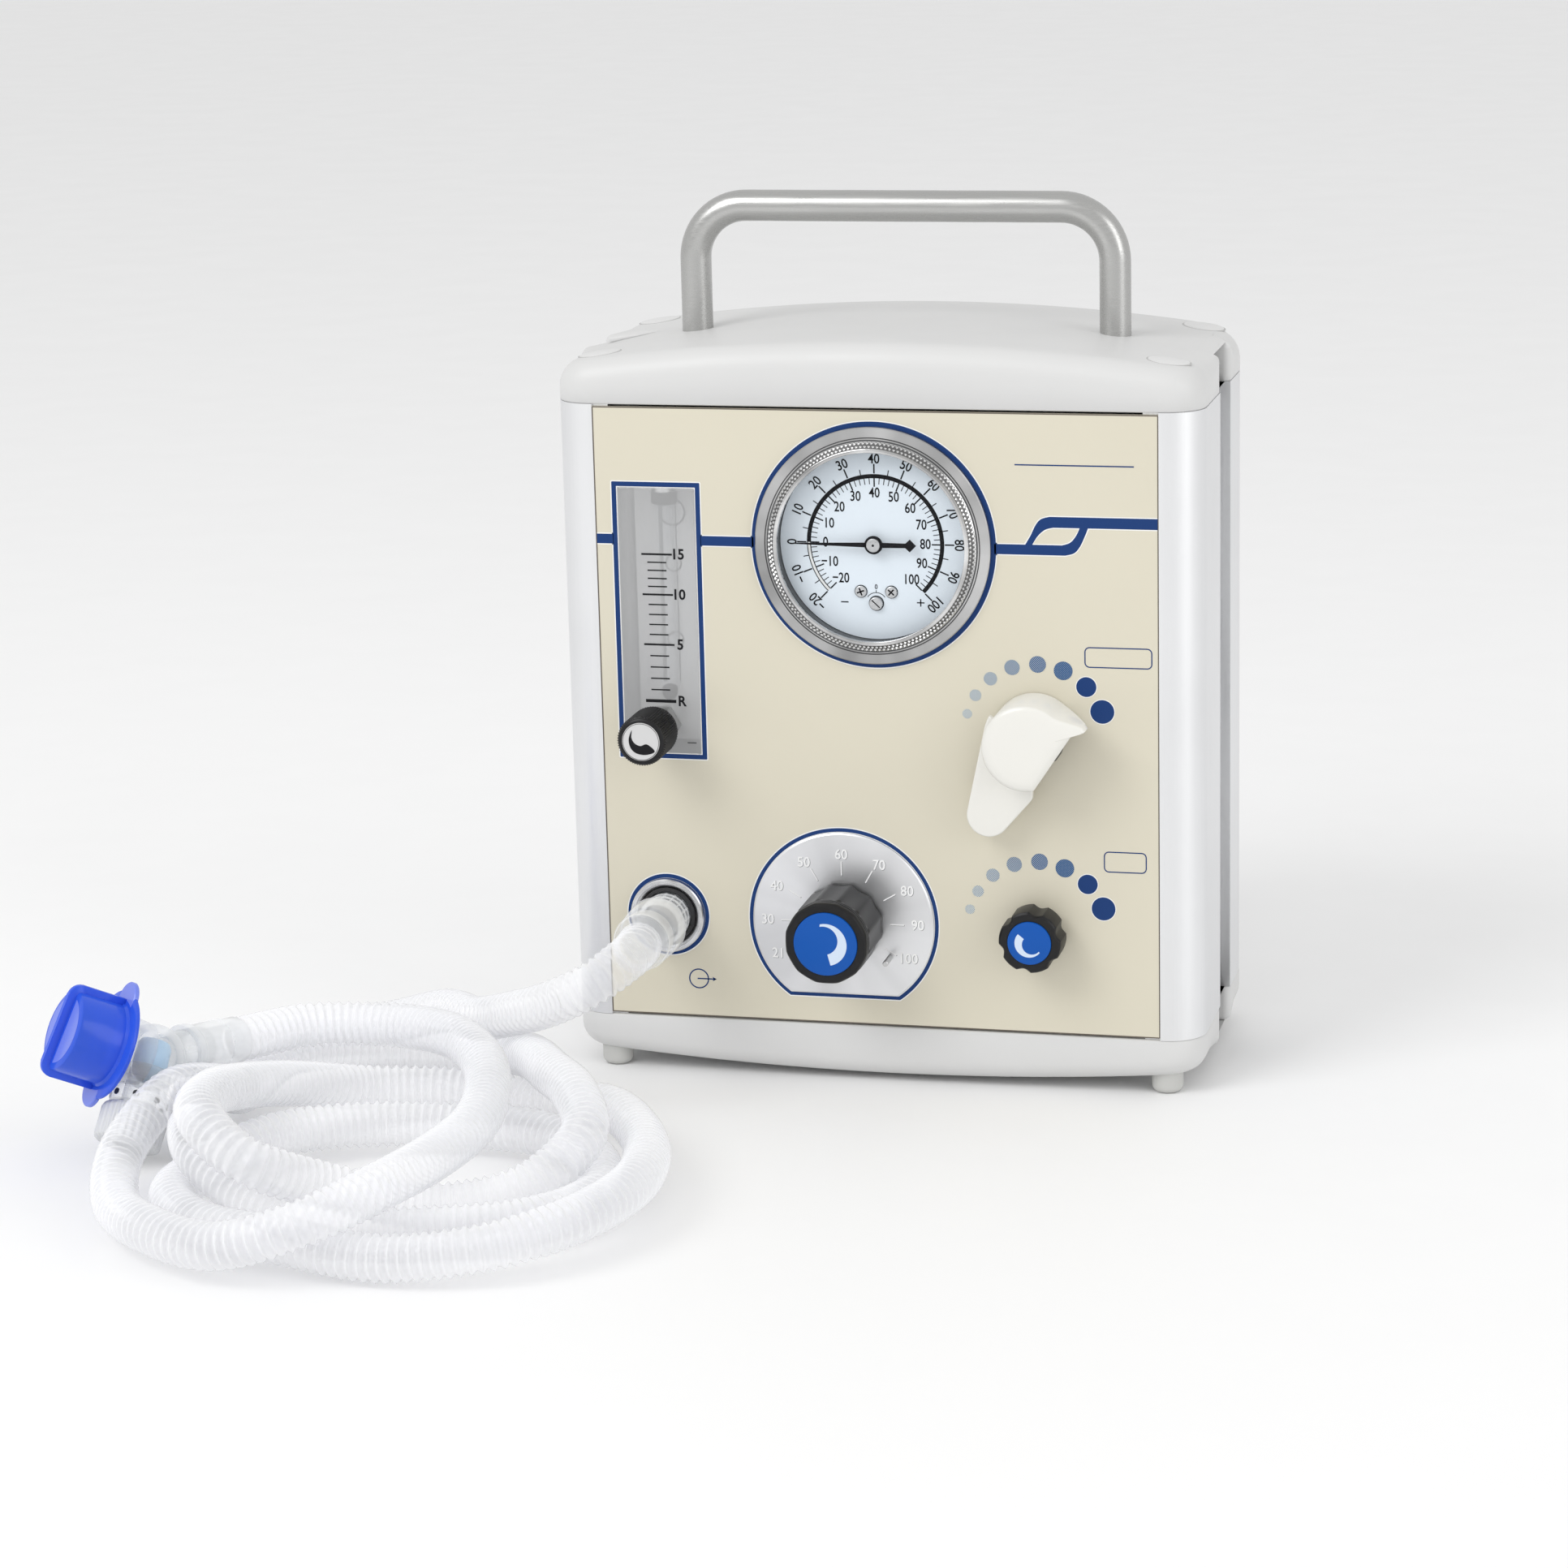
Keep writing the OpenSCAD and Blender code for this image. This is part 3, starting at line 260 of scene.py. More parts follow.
def objectNoise(nodes, links, scale, detail=4, stretch=(1, 1, 1)):
    coords = nodes.new("ShaderNodeTexCoord")
    mapping = nodes.new("ShaderNodeMapping")
    mapping.inputs["Scale"].default_value = stretch
    noise = nodes.new("ShaderNodeTexNoise")
    noise.inputs["Scale"].default_value = scale
    noise.inputs["Detail"].default_value = detail
    links.new(coords.outputs["Object"], mapping.inputs["Vector"])
    links.new(mapping.outputs["Vector"], noise.inputs["Vector"])
    return noise.outputs["Fac"]


def addBump(nodes, links, shader, height, strength, distance):
    bump = nodes.new("ShaderNodeBump")
    bump.inputs["Strength"].default_value = strength
    bump.inputs["Distance"].default_value = distance
    links.new(height, bump.inputs["Height"])
    links.new(bump.outputs["Normal"], shader.inputs["Normal"])


def varyRoughness(nodes, links, shader, fac, low, high):
    span = nodes.new("ShaderNodeMapRange")
    span.inputs["From Min"].default_value = 0.3
    span.inputs["From Max"].default_value = 0.7
    span.inputs["To Min"].default_value = low
    span.inputs["To Max"].default_value = high
    links.new(fac, span.inputs["Value"])
    links.new(span.outputs["Result"], shader.inputs["Roughness"])


def varyColor(nodes, links, shader, fac, colorA, colorB):
    mix = nodes.new("ShaderNodeMix")
    mix.data_type = "RGBA"
    mix.inputs["A"].default_value = (*colorA, 1)
    mix.inputs["B"].default_value = (*colorB, 1)
    links.new(fac, mix.inputs["Factor"])
    links.new(mix.outputs["Result"], shader.inputs["Base Color"])


def moulded(name, color, roughness=0.42, grain=1400, depth=0.00004, **sockets):
    m, nodes, links, shader = newMaterial(name, color, roughness, **sockets)
    fine = objectNoise(nodes, links, scale=grain, detail=3)
    broad = objectNoise(nodes, links, scale=22, detail=3)
    addBump(nodes, links, shader, fine, strength=0.25, distance=depth)
    varyRoughness(nodes, links, shader, broad, low=roughness - 0.06, high=roughness + 0.07)
    darker = [c * 0.965 for c in color]
    varyColor(nodes, links, shader, broad, color, darker)
    return m


def metal(name, color, roughness, stretch=(1, 1, 1), grain=900, depth=0.00002, **sockets):
    m, nodes, links, shader = newMaterial(name, color, roughness, 1.0, **sockets)
    streaks = objectNoise(nodes, links, scale=grain, detail=2, stretch=stretch)
    addBump(nodes, links, shader, streaks, strength=0.3, distance=depth)
    varyRoughness(nodes, links, shader, streaks, low=roughness - 0.08, high=roughness + 0.08)
    broad = objectNoise(nodes, links, scale=30, detail=2)
    darker = [c * 0.93 for c in color]
    varyColor(nodes, links, shader, broad, color, darker)
    return m


def clearPlastic(name, tint, body, least=0.12, most=0.75, roughness=0.12, ripple=0.12, hidden=0.0):
    # a thin clear wall: mostly see-through face on, milky towards its edges; hidden thins its far side
    m = bpy.data.materials.new(name)
    m.use_nodes = True
    nodes, links = m.node_tree.nodes, m.node_tree.links
    shader = nodes["Principled BSDF"]
    shader.inputs["Base Color"].default_value = (*body, 1)
    shader.inputs["Roughness"].default_value = roughness
    shader.inputs["IOR"].default_value = 1.5
    clear = nodes.new("ShaderNodeBsdfTransparent")
    clear.inputs["Color"].default_value = (*tint, 1)
    weight = nodes.new("ShaderNodeLayerWeight")
    weight.inputs["Blend"].default_value = 0.35
    span = nodes.new("ShaderNodeMapRange")
    span.inputs["To Min"].default_value = least
    span.inputs["To Max"].default_value = most
    mix = nodes.new("ShaderNodeMixShader")
    links.new(weight.outputs["Facing"], span.inputs["Value"])
    seen = nodes.new("ShaderNodeMath")
    seen.operation = "MULTIPLY_ADD"
    seen.inputs[1].default_value = -hidden
    seen.inputs[2].default_value = 1.0
    share = nodes.new("ShaderNodeMath")
    share.operation = "MULTIPLY"
    links.new(nodes.new("ShaderNodeNewGeometry").outputs["Backfacing"], seen.inputs[0])
    links.new(span.outputs["Result"], share.inputs[0])
    links.new(seen.outputs[0], share.inputs[1])
    links.new(share.outputs[0], mix.inputs["Fac"])
    links.new(clear.outputs["BSDF"], mix.inputs[1])
    links.new(shader.outputs["BSDF"], mix.inputs[2])
    links.new(mix.outputs["Shader"], nodes["Material Output"].inputs["Surface"])
    fine = objectNoise(nodes, links, scale=180, detail=2)
    addBump(nodes, links, shader, fine, strength=ripple, distance=0.0001)
    return m


def turnedMetal(name, color, roughness, at, sheenContrast=0.35, sheenScale=2.2):
    # painted reflection: bright and dark wedges round an axis in the base colour, standing in for the sheen
    # of metal turned in a lathe; fine rings as bumps
    m, nodes, links, shader = newMaterial(name, color, roughness, 1.0)
    coords = nodes.new("ShaderNodeTexCoord")
    shift = nodes.new("ShaderNodeVectorMath")
    shift.operation = "SUBTRACT"
    shift.inputs[1].default_value = (at.x * mm, 0, at.z * mm)
    parts = nodes.new("ShaderNodeSeparateXYZ")
    links.new(coords.outputs["Object"], shift.inputs[0])
    links.new(shift.outputs["Vector"], parts.inputs["Vector"])
    length = nodes.new("ShaderNodeVectorMath")
    length.operation = "LENGTH"
    flatten = nodes.new("ShaderNodeCombineXYZ")
    links.new(parts.outputs["X"], flatten.inputs["X"])
    links.new(parts.outputs["Z"], flatten.inputs["Y"])
    links.new(flatten.outputs["Vector"], length.inputs[0])
    normal = nodes.new("ShaderNodeVectorMath")
    normal.operation = "NORMALIZE"
    links.new(flatten.outputs["Vector"], normal.inputs[0])
    paintedSheenWedges = nodes.new("ShaderNodeTexNoise")
    paintedSheenWedges.inputs["Scale"].default_value = sheenScale
    paintedSheenWedges.inputs["Detail"].default_value = 2.5
    links.new(normal.outputs["Vector"], paintedSheenWedges.inputs["Vector"])
    span = nodes.new("ShaderNodeMapRange")
    span.inputs["From Min"].default_value = 0.32
    span.inputs["From Max"].default_value = 0.68
    links.new(paintedSheenWedges.outputs["Fac"], span.inputs["Value"])
    # painted reflection: the wedges darken and lighten the base colour
    darker = [c * (1 - sheenContrast) for c in color]
    varyColor(nodes, links, shader, span.outputs["Result"], darker, color)
    rings = nodes.new("ShaderNodeTexNoise")
    rings.noise_dimensions = "1D"
    rings.inputs["Scale"].default_value = 4000
    rings.inputs["Detail"].default_value = 2
    links.new(length.outputs["Value"], rings.inputs["W"])
    addBump(nodes, links, shader, rings.outputs["Fac"], strength=0.2, distance=0.000008)
    varyRoughness(nodes, links, shader, rings.outputs["Fac"], low=roughness - 0.05, high=roughness + 0.06)
    return m


capPlastic = moulded("capPlastic", (0.66, 0.66, 0.655), 0.44)
plugPlastic = moulded("plugPlastic", (0.70, 0.70, 0.695), 0.38)
grooveGrey = moulded("grooveGrey", (0.50, 0.50, 0.49), 0.6)
anodised = metal("anodisedProfile", (0.84, 0.845, 0.855), 0.42, (1, 1, 0.02), 1600, 0.00001)
panelPaint = moulded("panelPaint", (0.675, 0.635, 0.515), 0.36, 900, 0.00002)
rearPaint = moulded("rearPaint", (0.62, 0.63, 0.64), 0.45, 900)
navyInk = moulded("navyInk", (0.007, 0.040, 0.165), 0.40, 700, 0.00001, Specular_IOR_Level=0.22)
whiteInk = moulded("whiteInk", (0.86, 0.86, 0.84), 0.4, 700, 0.00001)
rodSteel = metal("rodSteel", (0.50, 0.50, 0.49), 0.30, (0.05, 1, 1), 1500, 0.000006)
zincSteel = metal("zincSteel", (0.62, 0.62, 0.62), 0.35)
chrome = turnedMetal("chromePlate", (0.80, 0.80, 0.80), 0.16, gauge, 0.55, 1.8)
outletChrome = turnedMetal("outletChrome", (0.86, 0.86, 0.87), 0.3, outlet, 0.25, 1.8)
knobBlack = moulded("knobBlack", (0.008, 0.008, 0.009), 0.34, 900, 0.00002, Specular_IOR_Level=0.3)
discBlue = moulded("discBlue", (0.002, 0.085, 0.40), 0.36, 600, 0.00001, Specular_IOR_Level=0.25)
discSilver = moulded("discSilver", (0.80, 0.81, 0.83), 0.28, 600, 0.00001)
dialPaint = moulded("dialPaint", (0.86, 0.925, 0.98), 0.5, 500, 0.00001, Specular_IOR_Level=0.2)
# black ink for printed marks and the needle; the same black is painted shade in screw recesses and round
# screw heads
blackInkAndShade = moulded("blackInkAndShade", (0.007, 0.007, 0.009), 0.5, 700, 0.00001, Specular_IOR_Level=0.2)
scaleAluminium = turnedMetal("scaleAluminium", (0.86, 0.865, 0.88), 0.34, fio2, 0.22, 1.1)
machined = metal("machinedAluminium", (0.72, 0.73, 0.75), 0.34)
brass = metal("brass", (0.70, 0.53, 0.26), 0.26, (1, 1, 1), 300, 0.000004)
caseEnamel = moulded("caseEnamel", (0.10, 0.105, 0.11), 0.45)
sealRubber = moulded("sealRubber", (0.02, 0.02, 0.022), 0.6, 500)
footRubber = moulded("footRubber", (0.55, 0.55, 0.53), 0.55, 700)
ivory = moulded("ivoryPlastic", (0.79, 0.78, 0.735), 0.2, 500, 0.00002)
windowGlass = clearPlastic("windowGlass", (0.99, 0.995, 1.0), (0.02, 0.02, 0.02),
                           least=0.0, most=0.2, roughness=0.03, ripple=0.0)
acrylic = clearPlastic("greyAcrylic", (0.99, 0.99, 0.99), (0.72, 0.725, 0.73),
                       least=0.42, most=0.66, roughness=0.06, ripple=0.0, hidden=0.7)
hoseClear = clearPlastic("hoseClear", (0.99, 0.99, 1.0), (0.94, 0.945, 0.955),
                         least=0.30, most=0.96, roughness=0.12, ripple=0.0, hidden=0.92)
connectorClear = clearPlastic("connectorClear", (0.98, 0.985, 0.99), (0.93, 0.94, 0.95),
                              least=0.26, most=0.9, roughness=0.14, ripple=0.02, hidden=0.7)
teeClear = clearPlastic("teeClear", (0.98, 0.985, 0.99), (0.94, 0.955, 0.965),
                        least=0.10, most=0.8, roughness=0.06, ripple=0.02, hidden=0.6)
capBlue = clearPlastic("capBlue", (0.18, 0.32, 0.98), (0.035, 0.125, 0.80),
                       least=0.66, most=0.95, roughness=0.2, ripple=0.03)
capGrey = moulded("capGrey", (0.66, 0.67, 0.68), 0.4)
satinSteel = turnedMetal("satinSteel", (0.60, 0.60, 0.60), 0.36, gauge, 0.5, 1.5)
discWhite = moulded("discWhite", (0.62, 0.62, 0.62), 0.35, 600, 0.00001)
discPale = moulded("discPale", (0.62, 0.72, 0.86), 0.32, 600, 0.00001)
knurlSteel = turnedMetal("knurlSteel", (0.80, 0.80, 0.80), 0.24, gauge, 0.25, 2.5)
knurlShade = metal("knurlShade", (0.16, 0.16, 0.16), 0.45)
# painted shade and painted highlight for the engraved scale marks
engravedShade = moulded("engravedShade", (0.22, 0.225, 0.235), 0.5, 700, 0.00001)
engravedHighlight = moulded("engravedHighlight", (0.93, 0.93, 0.93), 0.3, 700, 0.00001)
boreClear = clearPlastic("boreClear", (0.95, 0.96, 0.97), (0.62, 0.63, 0.64),
                         least=0.04, most=0.6, roughness=0.06, ripple=0.0)
# painted light: pale sheet inside the back of the clear flow block
blockBackPaintedLight = moulded("blockBackPaintedLight", (0.84, 0.845, 0.85), 0.6, 500, 0.00001)
gapBrown = moulded("gapBrown", (0.12, 0.10, 0.08), 0.6, 700, 0.00001)
# painted shade in bores and holes
paintedBoreShade = moulded("paintedBoreShade", (0.05, 0.052, 0.055), 0.35, 700, 0.00001)
boreLine = moulded("boreLine", (0.07, 0.072, 0.075), 0.4, 700, 0.00001)
paleBlue = moulded("paleBlue", (0.45, 0.66, 0.86), 0.3, 700, 0.00001)
capPaleBlue = moulded("capPaleBlue", (0.17, 0.235, 0.78), 0.25, 700, 0.00001)
print("materials made")


# camera

cameraSettings = {
    "place": (301.6, -1367.1, 442.3),   # millimetres
    "azimuth": 14.164,                  # degrees
    "elevation": 14.2195,
    "roll": -1.4239,
    "lens": 101.046,                    # millimetres
    "sensor": 36,
}


def makeCamera(s):
    azimuth, elevation, roll = (math.radians(s[k]) for k in ("azimuth", "elevation", "roll"))
    back = Vector((math.sin(azimuth) * math.cos(elevation), -math.cos(azimuth) * math.cos(elevation),
                   math.sin(elevation)))
    level = (-back).cross(Vector((0, 0, 1))).normalized()
    rise = level.cross(-back)
    right = level * math.cos(roll) + rise * math.sin(roll)
    up = rise * math.cos(roll) - level * math.sin(roll)
    data = bpy.data.cameras.new("camera")
    data.lens = s["lens"]
    data.sensor_width = s["sensor"]
    camera = bpy.data.objects.new("camera", data)
    bpy.context.collection.objects.link(camera)
    turn = Matrix((right, up, back)).transposed().to_4x4()
    camera.matrix_world = Matrix.Translation(Vector(s["place"]) * mm) @ turn
    bpy.context.scene.camera = camera


makeCamera(cameraSettings)


# the patient hose

hoseSettings = {
    # route in millimetres: out of the front, down to the table, four loose turns, up to the T-piece
    "route": [
        (-70, -84.5, 53.5), (-70, -97, 53), (-79, -109, 47), (-94, -107, 39), (-109, -96, 32),
        (-126, -82, 25), (-144, -60, 20), (-168, -48, 11), (-195, -54, 8), (-211, -78, 8),
        (-211, -107, 8), (-204, -136, 8), (-192, -162, 11), (-183, -188, 20), (-170, -214, 21),
        (-148, -228, 13), (-121, -234, 8), (-92, -231, 9), (-66, -218, 9), (-55, -192, 8),
        (-64, -164, 9), (-86, -146, 10), (-115, -140, 9), (-143, -147, 10), (-166, -165, 11),
        (-179, -190, 8), (-178, -218, 9), (-160, -240, 9), (-132, -250, 10), (-103, -254, 8),
        (-74, -250, 11), (-52, -232, 14), (-42, -205, 15), (-44, -176, 14), (-54, -148, 13),
        (-71, -124, 12), (-96, -112, 8), (-125, -109, 10), (-152, -118, 12), (-167, -141, 20),
        (-173, -169, 28), (-172, -198, 35), (-165, -225, 37), (-146, -238, 29), (-126, -223, 17),
        (-101, -210, 8), (-75, -201, 12), (-62, -181, 22), (-72, -154, 26), (-87, -129, 24),
        (-101, -103, 20), (-116, -79, 13), (-140, -65, 8), (-168, -71, 10), (-188, -90, 12),
        (-193, -118, 9), (-190, -145, 19), (-195, -173, 26), (-200, -200, 17), (-192, -227, 10),
        (-173, -250, 11), (-147, -263, 12), (-121, -261, 20), (-104, -239, 25), (-97, -211, 25),
        (-95, -182, 25), (-100, -153, 26), (-111, -125, 26), (-128, -101, 25), (-152, -87, 23),
        (-178, -94, 24), (-195.5, -116.5, 25)],
    "diameter": 14.5,
    "coreRadius": 6.2,
    "crest": 1.5,       # higher is a narrower crest
    "pitch": 3.0,       # from one corrugation to the next
    "ringsPerPitch": 6,
    "sides": 18,
}


def curveSpan(a, b, c, d, samples):
    # the stretch from b to c of a smooth curve through all four points
    span = []
    for k in range(samples):
        t = k / samples
        span.append(0.5 * (2 * b + (c - a) * t + (2 * a - 5 * b + 4 * c - d) * t ** 2
                           + (3 * b - a - 3 * c + d) * t ** 3))
    return span


def smoothRoute(points, samples=8):
    # a curve through the points with the same turn at both sides of each
    pts = [Vector(p) for p in points]
    first = pts[0] * 2 - pts[1]
    last = pts[-1] * 2 - pts[-2]
    pts = [first] + pts + [last]
    out = []
    for i in range(1, len(pts) - 2):
        out += curveSpan(*pts[i - 1:i + 3], samples)
    out.append(pts[-2])
    return out


def routeLength(path):
    return sum((b - a).length for a, b in zip(path, path[1:]))


def evenRoute(path, step):
    # the same line, with a point every step
    out, rest = [path[0]], step
    for a, b in zip(path, path[1:]):
        span = (b - a).length
        while span > rest:
            a = a + (b - a) * (rest / span)
            out.append(a)
            span = (b - a).length
            rest = step
        rest -= span
    if (out[-1] - path[-1]).length > 1e-6:
        out.append(path[-1])
    return out


def makeHose(s):
    path = smoothRoute(s["route"])
    length = routeLength(path)
    count = round(length / s["pitch"])
    perPitch = s["ringsPerPitch"]
    line = evenRoute(path, length / (count * perPitch) * 1.0000001)  # a hair long, so no stray last point
    bm = bmesh.new()
    side = Vector((0, 0, 1))
    rings = []
    outer = s["diameter"] / 2
    for i, p in enumerate(line):
        ahead = line[min(i + 1, len(line) - 1)] - line[max(i - 1, 0)]
        ahead.normalize()
        side = (side - ahead * side.dot(ahead)).normalized()
        other = ahead.cross(side)
        wave = 0.5 - 0.5 * math.cos(2 * math.pi * i / perPitch)
        radius = s["coreRadius"] + (outer - s["coreRadius"]) * wave ** s["crest"]
        rings.append(addVerts(bm, ringPoints(p, side, other, radius, s["sides"])))
    addTube(bm, rings)
    hose = finishMesh("hoseTube", bm, hoseClear, "root", sharp=80)
    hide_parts("hose")
    return hose, path, length


hose, hosePath, hoseLength = makeHose(hoseSettings)
print("hose made", round(hoseLength), "mm long")


# repeats, made with Geometry Nodes

def makeRepeatTree():
    # copies the incoming piece, each copy moved and turned about Y by one more step
    tree = bpy.data.node_groups.new("repeatPiece", "GeometryNodeTree")
    face = tree.interface
    face.new_socket("Geometry", in_out="INPUT", socket_type="NodeSocketGeometry")
    for name, kind in (("Count", "Int"), ("Place", "Vector"), ("Move Step", "Vector"),
                       ("First Turn", "Float"), ("Turn Step", "Float"), ("Material", "Material")):
        face.new_socket(name, in_out="INPUT", socket_type="NodeSocket" + kind)
    face.new_socket("Geometry", in_out="OUTPUT", socket_type="NodeSocketGeometry")
    nodes, links = tree.nodes, tree.links
    given = nodes.new("NodeGroupInput")
    result = nodes.new("NodeGroupOutput")
    points = nodes.new("GeometryNodeMeshLine")
    copies = nodes.new("GeometryNodeInstanceOnPoints")
    index = nodes.new("GeometryNodeInputIndex")
    turn = nodes.new("ShaderNodeMath")
    turn.operation = "MULTIPLY_ADD"
    rotation = nodes.new("ShaderNodeCombineXYZ")
    real = nodes.new("GeometryNodeRealizeInstances")
    paint = nodes.new("GeometryNodeSetMaterial")
    links.new(given.outputs["Count"], points.inputs["Count"])
    links.new(given.outputs["Place"], points.inputs["Start Location"])
    links.new(given.outputs["Move Step"], points.inputs["Offset"])
    links.new(index.outputs["Index"], turn.inputs[0])
    links.new(given.outputs["Turn Step"], turn.inputs[1])
    links.new(given.outputs["First Turn"], turn.inputs[2])
    links.new(turn.outputs[0], rotation.inputs["Y"])
    links.new(points.outputs["Mesh"], copies.inputs["Points"])
    links.new(given.outputs["Geometry"], copies.inputs["Instance"])
    links.new(rotation.outputs["Vector"], copies.inputs["Rotation"])
    links.new(copies.outputs["Instances"], real.inputs["Geometry"])
    links.new(real.outputs["Geometry"], paint.inputs["Geometry"])
    links.new(given.outputs["Material"], paint.inputs["Material"])
    links.new(paint.outputs["Geometry"], result.inputs["Geometry"])
    return tree


repeatTree = makeRepeatTree()


def repeatPiece(name, bm, material, body, count, place, moveStep=(0, 0, 0),
                firstAngle=0, angleStep=0, sharp=35):
    # bm is modelled round the origin; angles run counter-clockwise seen from the front
    source = finishMesh(name + "Source", bm, material, None, sharp)
    modifier = source.modifiers.new("repeat", "NODES")
    modifier.node_group = repeatTree
    values = {"Count": count, "Place": [c * mm for c in place], "Move Step": [c * mm for c in moveStep],
              "First Turn": -math.radians(firstAngle), "Turn Step": -math.radians(angleStep),
              "Material": material}
    for item in repeatTree.interface.items_tree:
        if item.in_out == "INPUT" and item.name in values:
            modifier[item.identifier] = values[item.name]
    bpy.context.view_layer.update()
    graph = bpy.context.evaluated_depsgraph_get()
    mesh = bpy.data.meshes.new_from_object(source.evaluated_get(graph))
    mesh.name = name
    source.modifiers.remove(modifier)
    bpy.data.objects.remove(source)
    piece = bpy.data.objects.new(name, mesh)
    bpy.context.collection.objects.link(piece)
    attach(piece, body)
    return piece


# printed and engraved marks

inkThickness = 0.06
digitShare = 0.69  # height of a digit over the size of its font


def addText(bm, text, height, x, z, y, turn=0, width=1.0, bold=0.012, thickness=inkThickness):
    # height is that of a digit; turn is in degrees, counter-clockwise seen from the front
    curve = bpy.data.curves.new("mark", "FONT")
    curve.body = text
    curve.align_x = "CENTER"
    curve.align_y = "CENTER"
    curve.size = height / digitShare
    curve.extrude = thickness / 2
    curve.offset = bold * curve.size
    curve.resolution_u = 3
    holder = bpy.data.objects.new("mark", curve)
    bpy.context.collection.objects.link(holder)
    bpy.context.view_layer.update()
    graph = bpy.context.evaluated_depsgraph_get()
    mesh = bpy.data.meshes.new_from_object(holder.evaluated_get(graph))
    bpy.data.objects.remove(holder)
    place = Matrix.Translation(Vector((x, y - thickness / 2, z)) * mm)
    turned = Matrix.Rotation(-math.radians(turn), 4, "Y") @ Matrix.Rotation(math.radians(90), 4, "X")
    mesh.transform(place @ turned @ Matrix.Diagonal((width * mm, mm, mm, 1)))
    bm.from_mesh(mesh)
    bpy.data.meshes.remove(mesh)


def addBar(bm, x0, z0, x1, z1, width, y, thickness=inkThickness):
    # a straight printed line between two points
    along = Vector((x1 - x0, z1 - z0)).normalized() if (x0, z0) != (x1, z1) else Vector((1, 0))
    side = Vector((-along.y, along.x)) * width / 2
    loop = [(x0 + side.x, z0 + side.y), (x0 - side.x, z0 - side.y), (x1 - side.x, z1 - side.y),
            (x1 + side.x, z1 + side.y)]
    addPlate(bm, [loop], y - thickness, y)


def addBand(bm, centre, outer, inner, fromDegrees, toDegrees, y, steps=48, thickness=inkThickness):
    # a printed arc of an even width
    loop = arc(centre, outer, fromDegrees, toDegrees, steps)
    loop += arc(centre, inner, toDegrees, fromDegrees, steps)
    addPlate(bm, [loop], y - thickness, y)


def addRing(bm, centre, outer, inner, y, steps=128, thickness=inkThickness):
    addPlate(bm, [circleLoop(*centre, outer, steps), circleLoop(*centre, inner, steps)], y - thickness, y)


def addPanelFrame(bm, low, high, width, radius, y, thickness=inkThickness):
    # a printed rectangle with round corners
    def loop(grow):
        r = max(radius + grow, 0.05)
        x0, z0, x1, z1 = low[0] - grow + r, low[1] - grow + r, high[0] + grow - r, high[1] + grow - r
        points = []
        for cx, cz, a in ((x1, z1, 0), (x0, z1, 90), (x0, z0, 180), (x1, z0, 270)):
            points += arc((cx, cz), r, a, a + 90, 5)
        return points
    addPlate(bm, [loop(0), loop(-width)], y - thickness, y)


# the two end caps

caseSettings = {
    "frontRadius": 12.0,
    "rearRadius": 20.0,
    "channelRadius": 11.0,
    "channelInset": 9.2,    # from the side of the case to the channel's centre
    "mouthRadius": 2.4,
    "topRound": 7.5,
    "bottomRound": 6.0,
    "channelRound": 1.8,
    "topCrown": 667.0,      # radius of the arched top
    "bottomCrown": 1000.0,
    "seamEdge": 0.45,
    "strips": 13,           # bands across each half that let the flat end bend
    "plugRadius": 6.7,
    "plugProud": 0.35,
}


def casePlan(s, edgeRound, mouth):
    # outline of the case from above: point, outward direction and edge rounding at each place
    high = boxOf("top_cap")[1]
    w, h = high.x, high.y
    fr, rr, cr = s["frontRadius"], s["rearRadius"], s["channelRadius"]
    channelX = w - s["channelInset"]
    small = s["channelRound"]
    half = []

    def turn(cx, cy, radius, a0, a1, steps, size0, size1, inward=False):
        for i in range(steps + 1):
            t = i / steps
            a = math.radians(a0 + (a1 - a0) * t)
            n = Vector((math.cos(a), math.sin(a)))
            half.append((Vector((cx, cy)) + n * radius, -n if inward else n, size0 + (size1 - size0) * t))

    half.append((Vector((0, -h)), Vector((0, -1)), edgeRound))
    turn(w - fr, -h + fr, fr, -90, 0, 12, edgeRound, edgeRound)
    for t in (0.25, 0.5, 0.75):
        y = (-h + fr) + (-(cr + mouth) + h - fr) * t
        half.append((Vector((w, y)), Vector((1, 0)), edgeRound + (small - edgeRound) * max(0, t * 2 - 1)))
    turn(w - mouth, -cr - mouth, mouth, 0, 90, 5, small, small)
    turn(channelX, 0, cr, -90, -270, 20, small, small, True)
    turn(w - mouth, cr + mouth, mouth, -90, 0, 5, small, small)
    for t in (0.25, 0.5, 0.75):
        y = (cr + mouth) + (h - rr - cr - mouth) * t
        half.append((Vector((w, y)), Vector((1, 0)), small + (edgeRound - small) * min(1, t * 2)))
    turn(w - rr, h - rr, rr, 0, 90, 14, edgeRound, edgeRound)
    other = [(Vector((-p.x, p.y)), Vector((-n.x, n.y)), r) for p, n, r in reversed(half)]
    return half + [(Vector((0, h)), Vector((0, 1)), edgeRound)] + other[:-1]


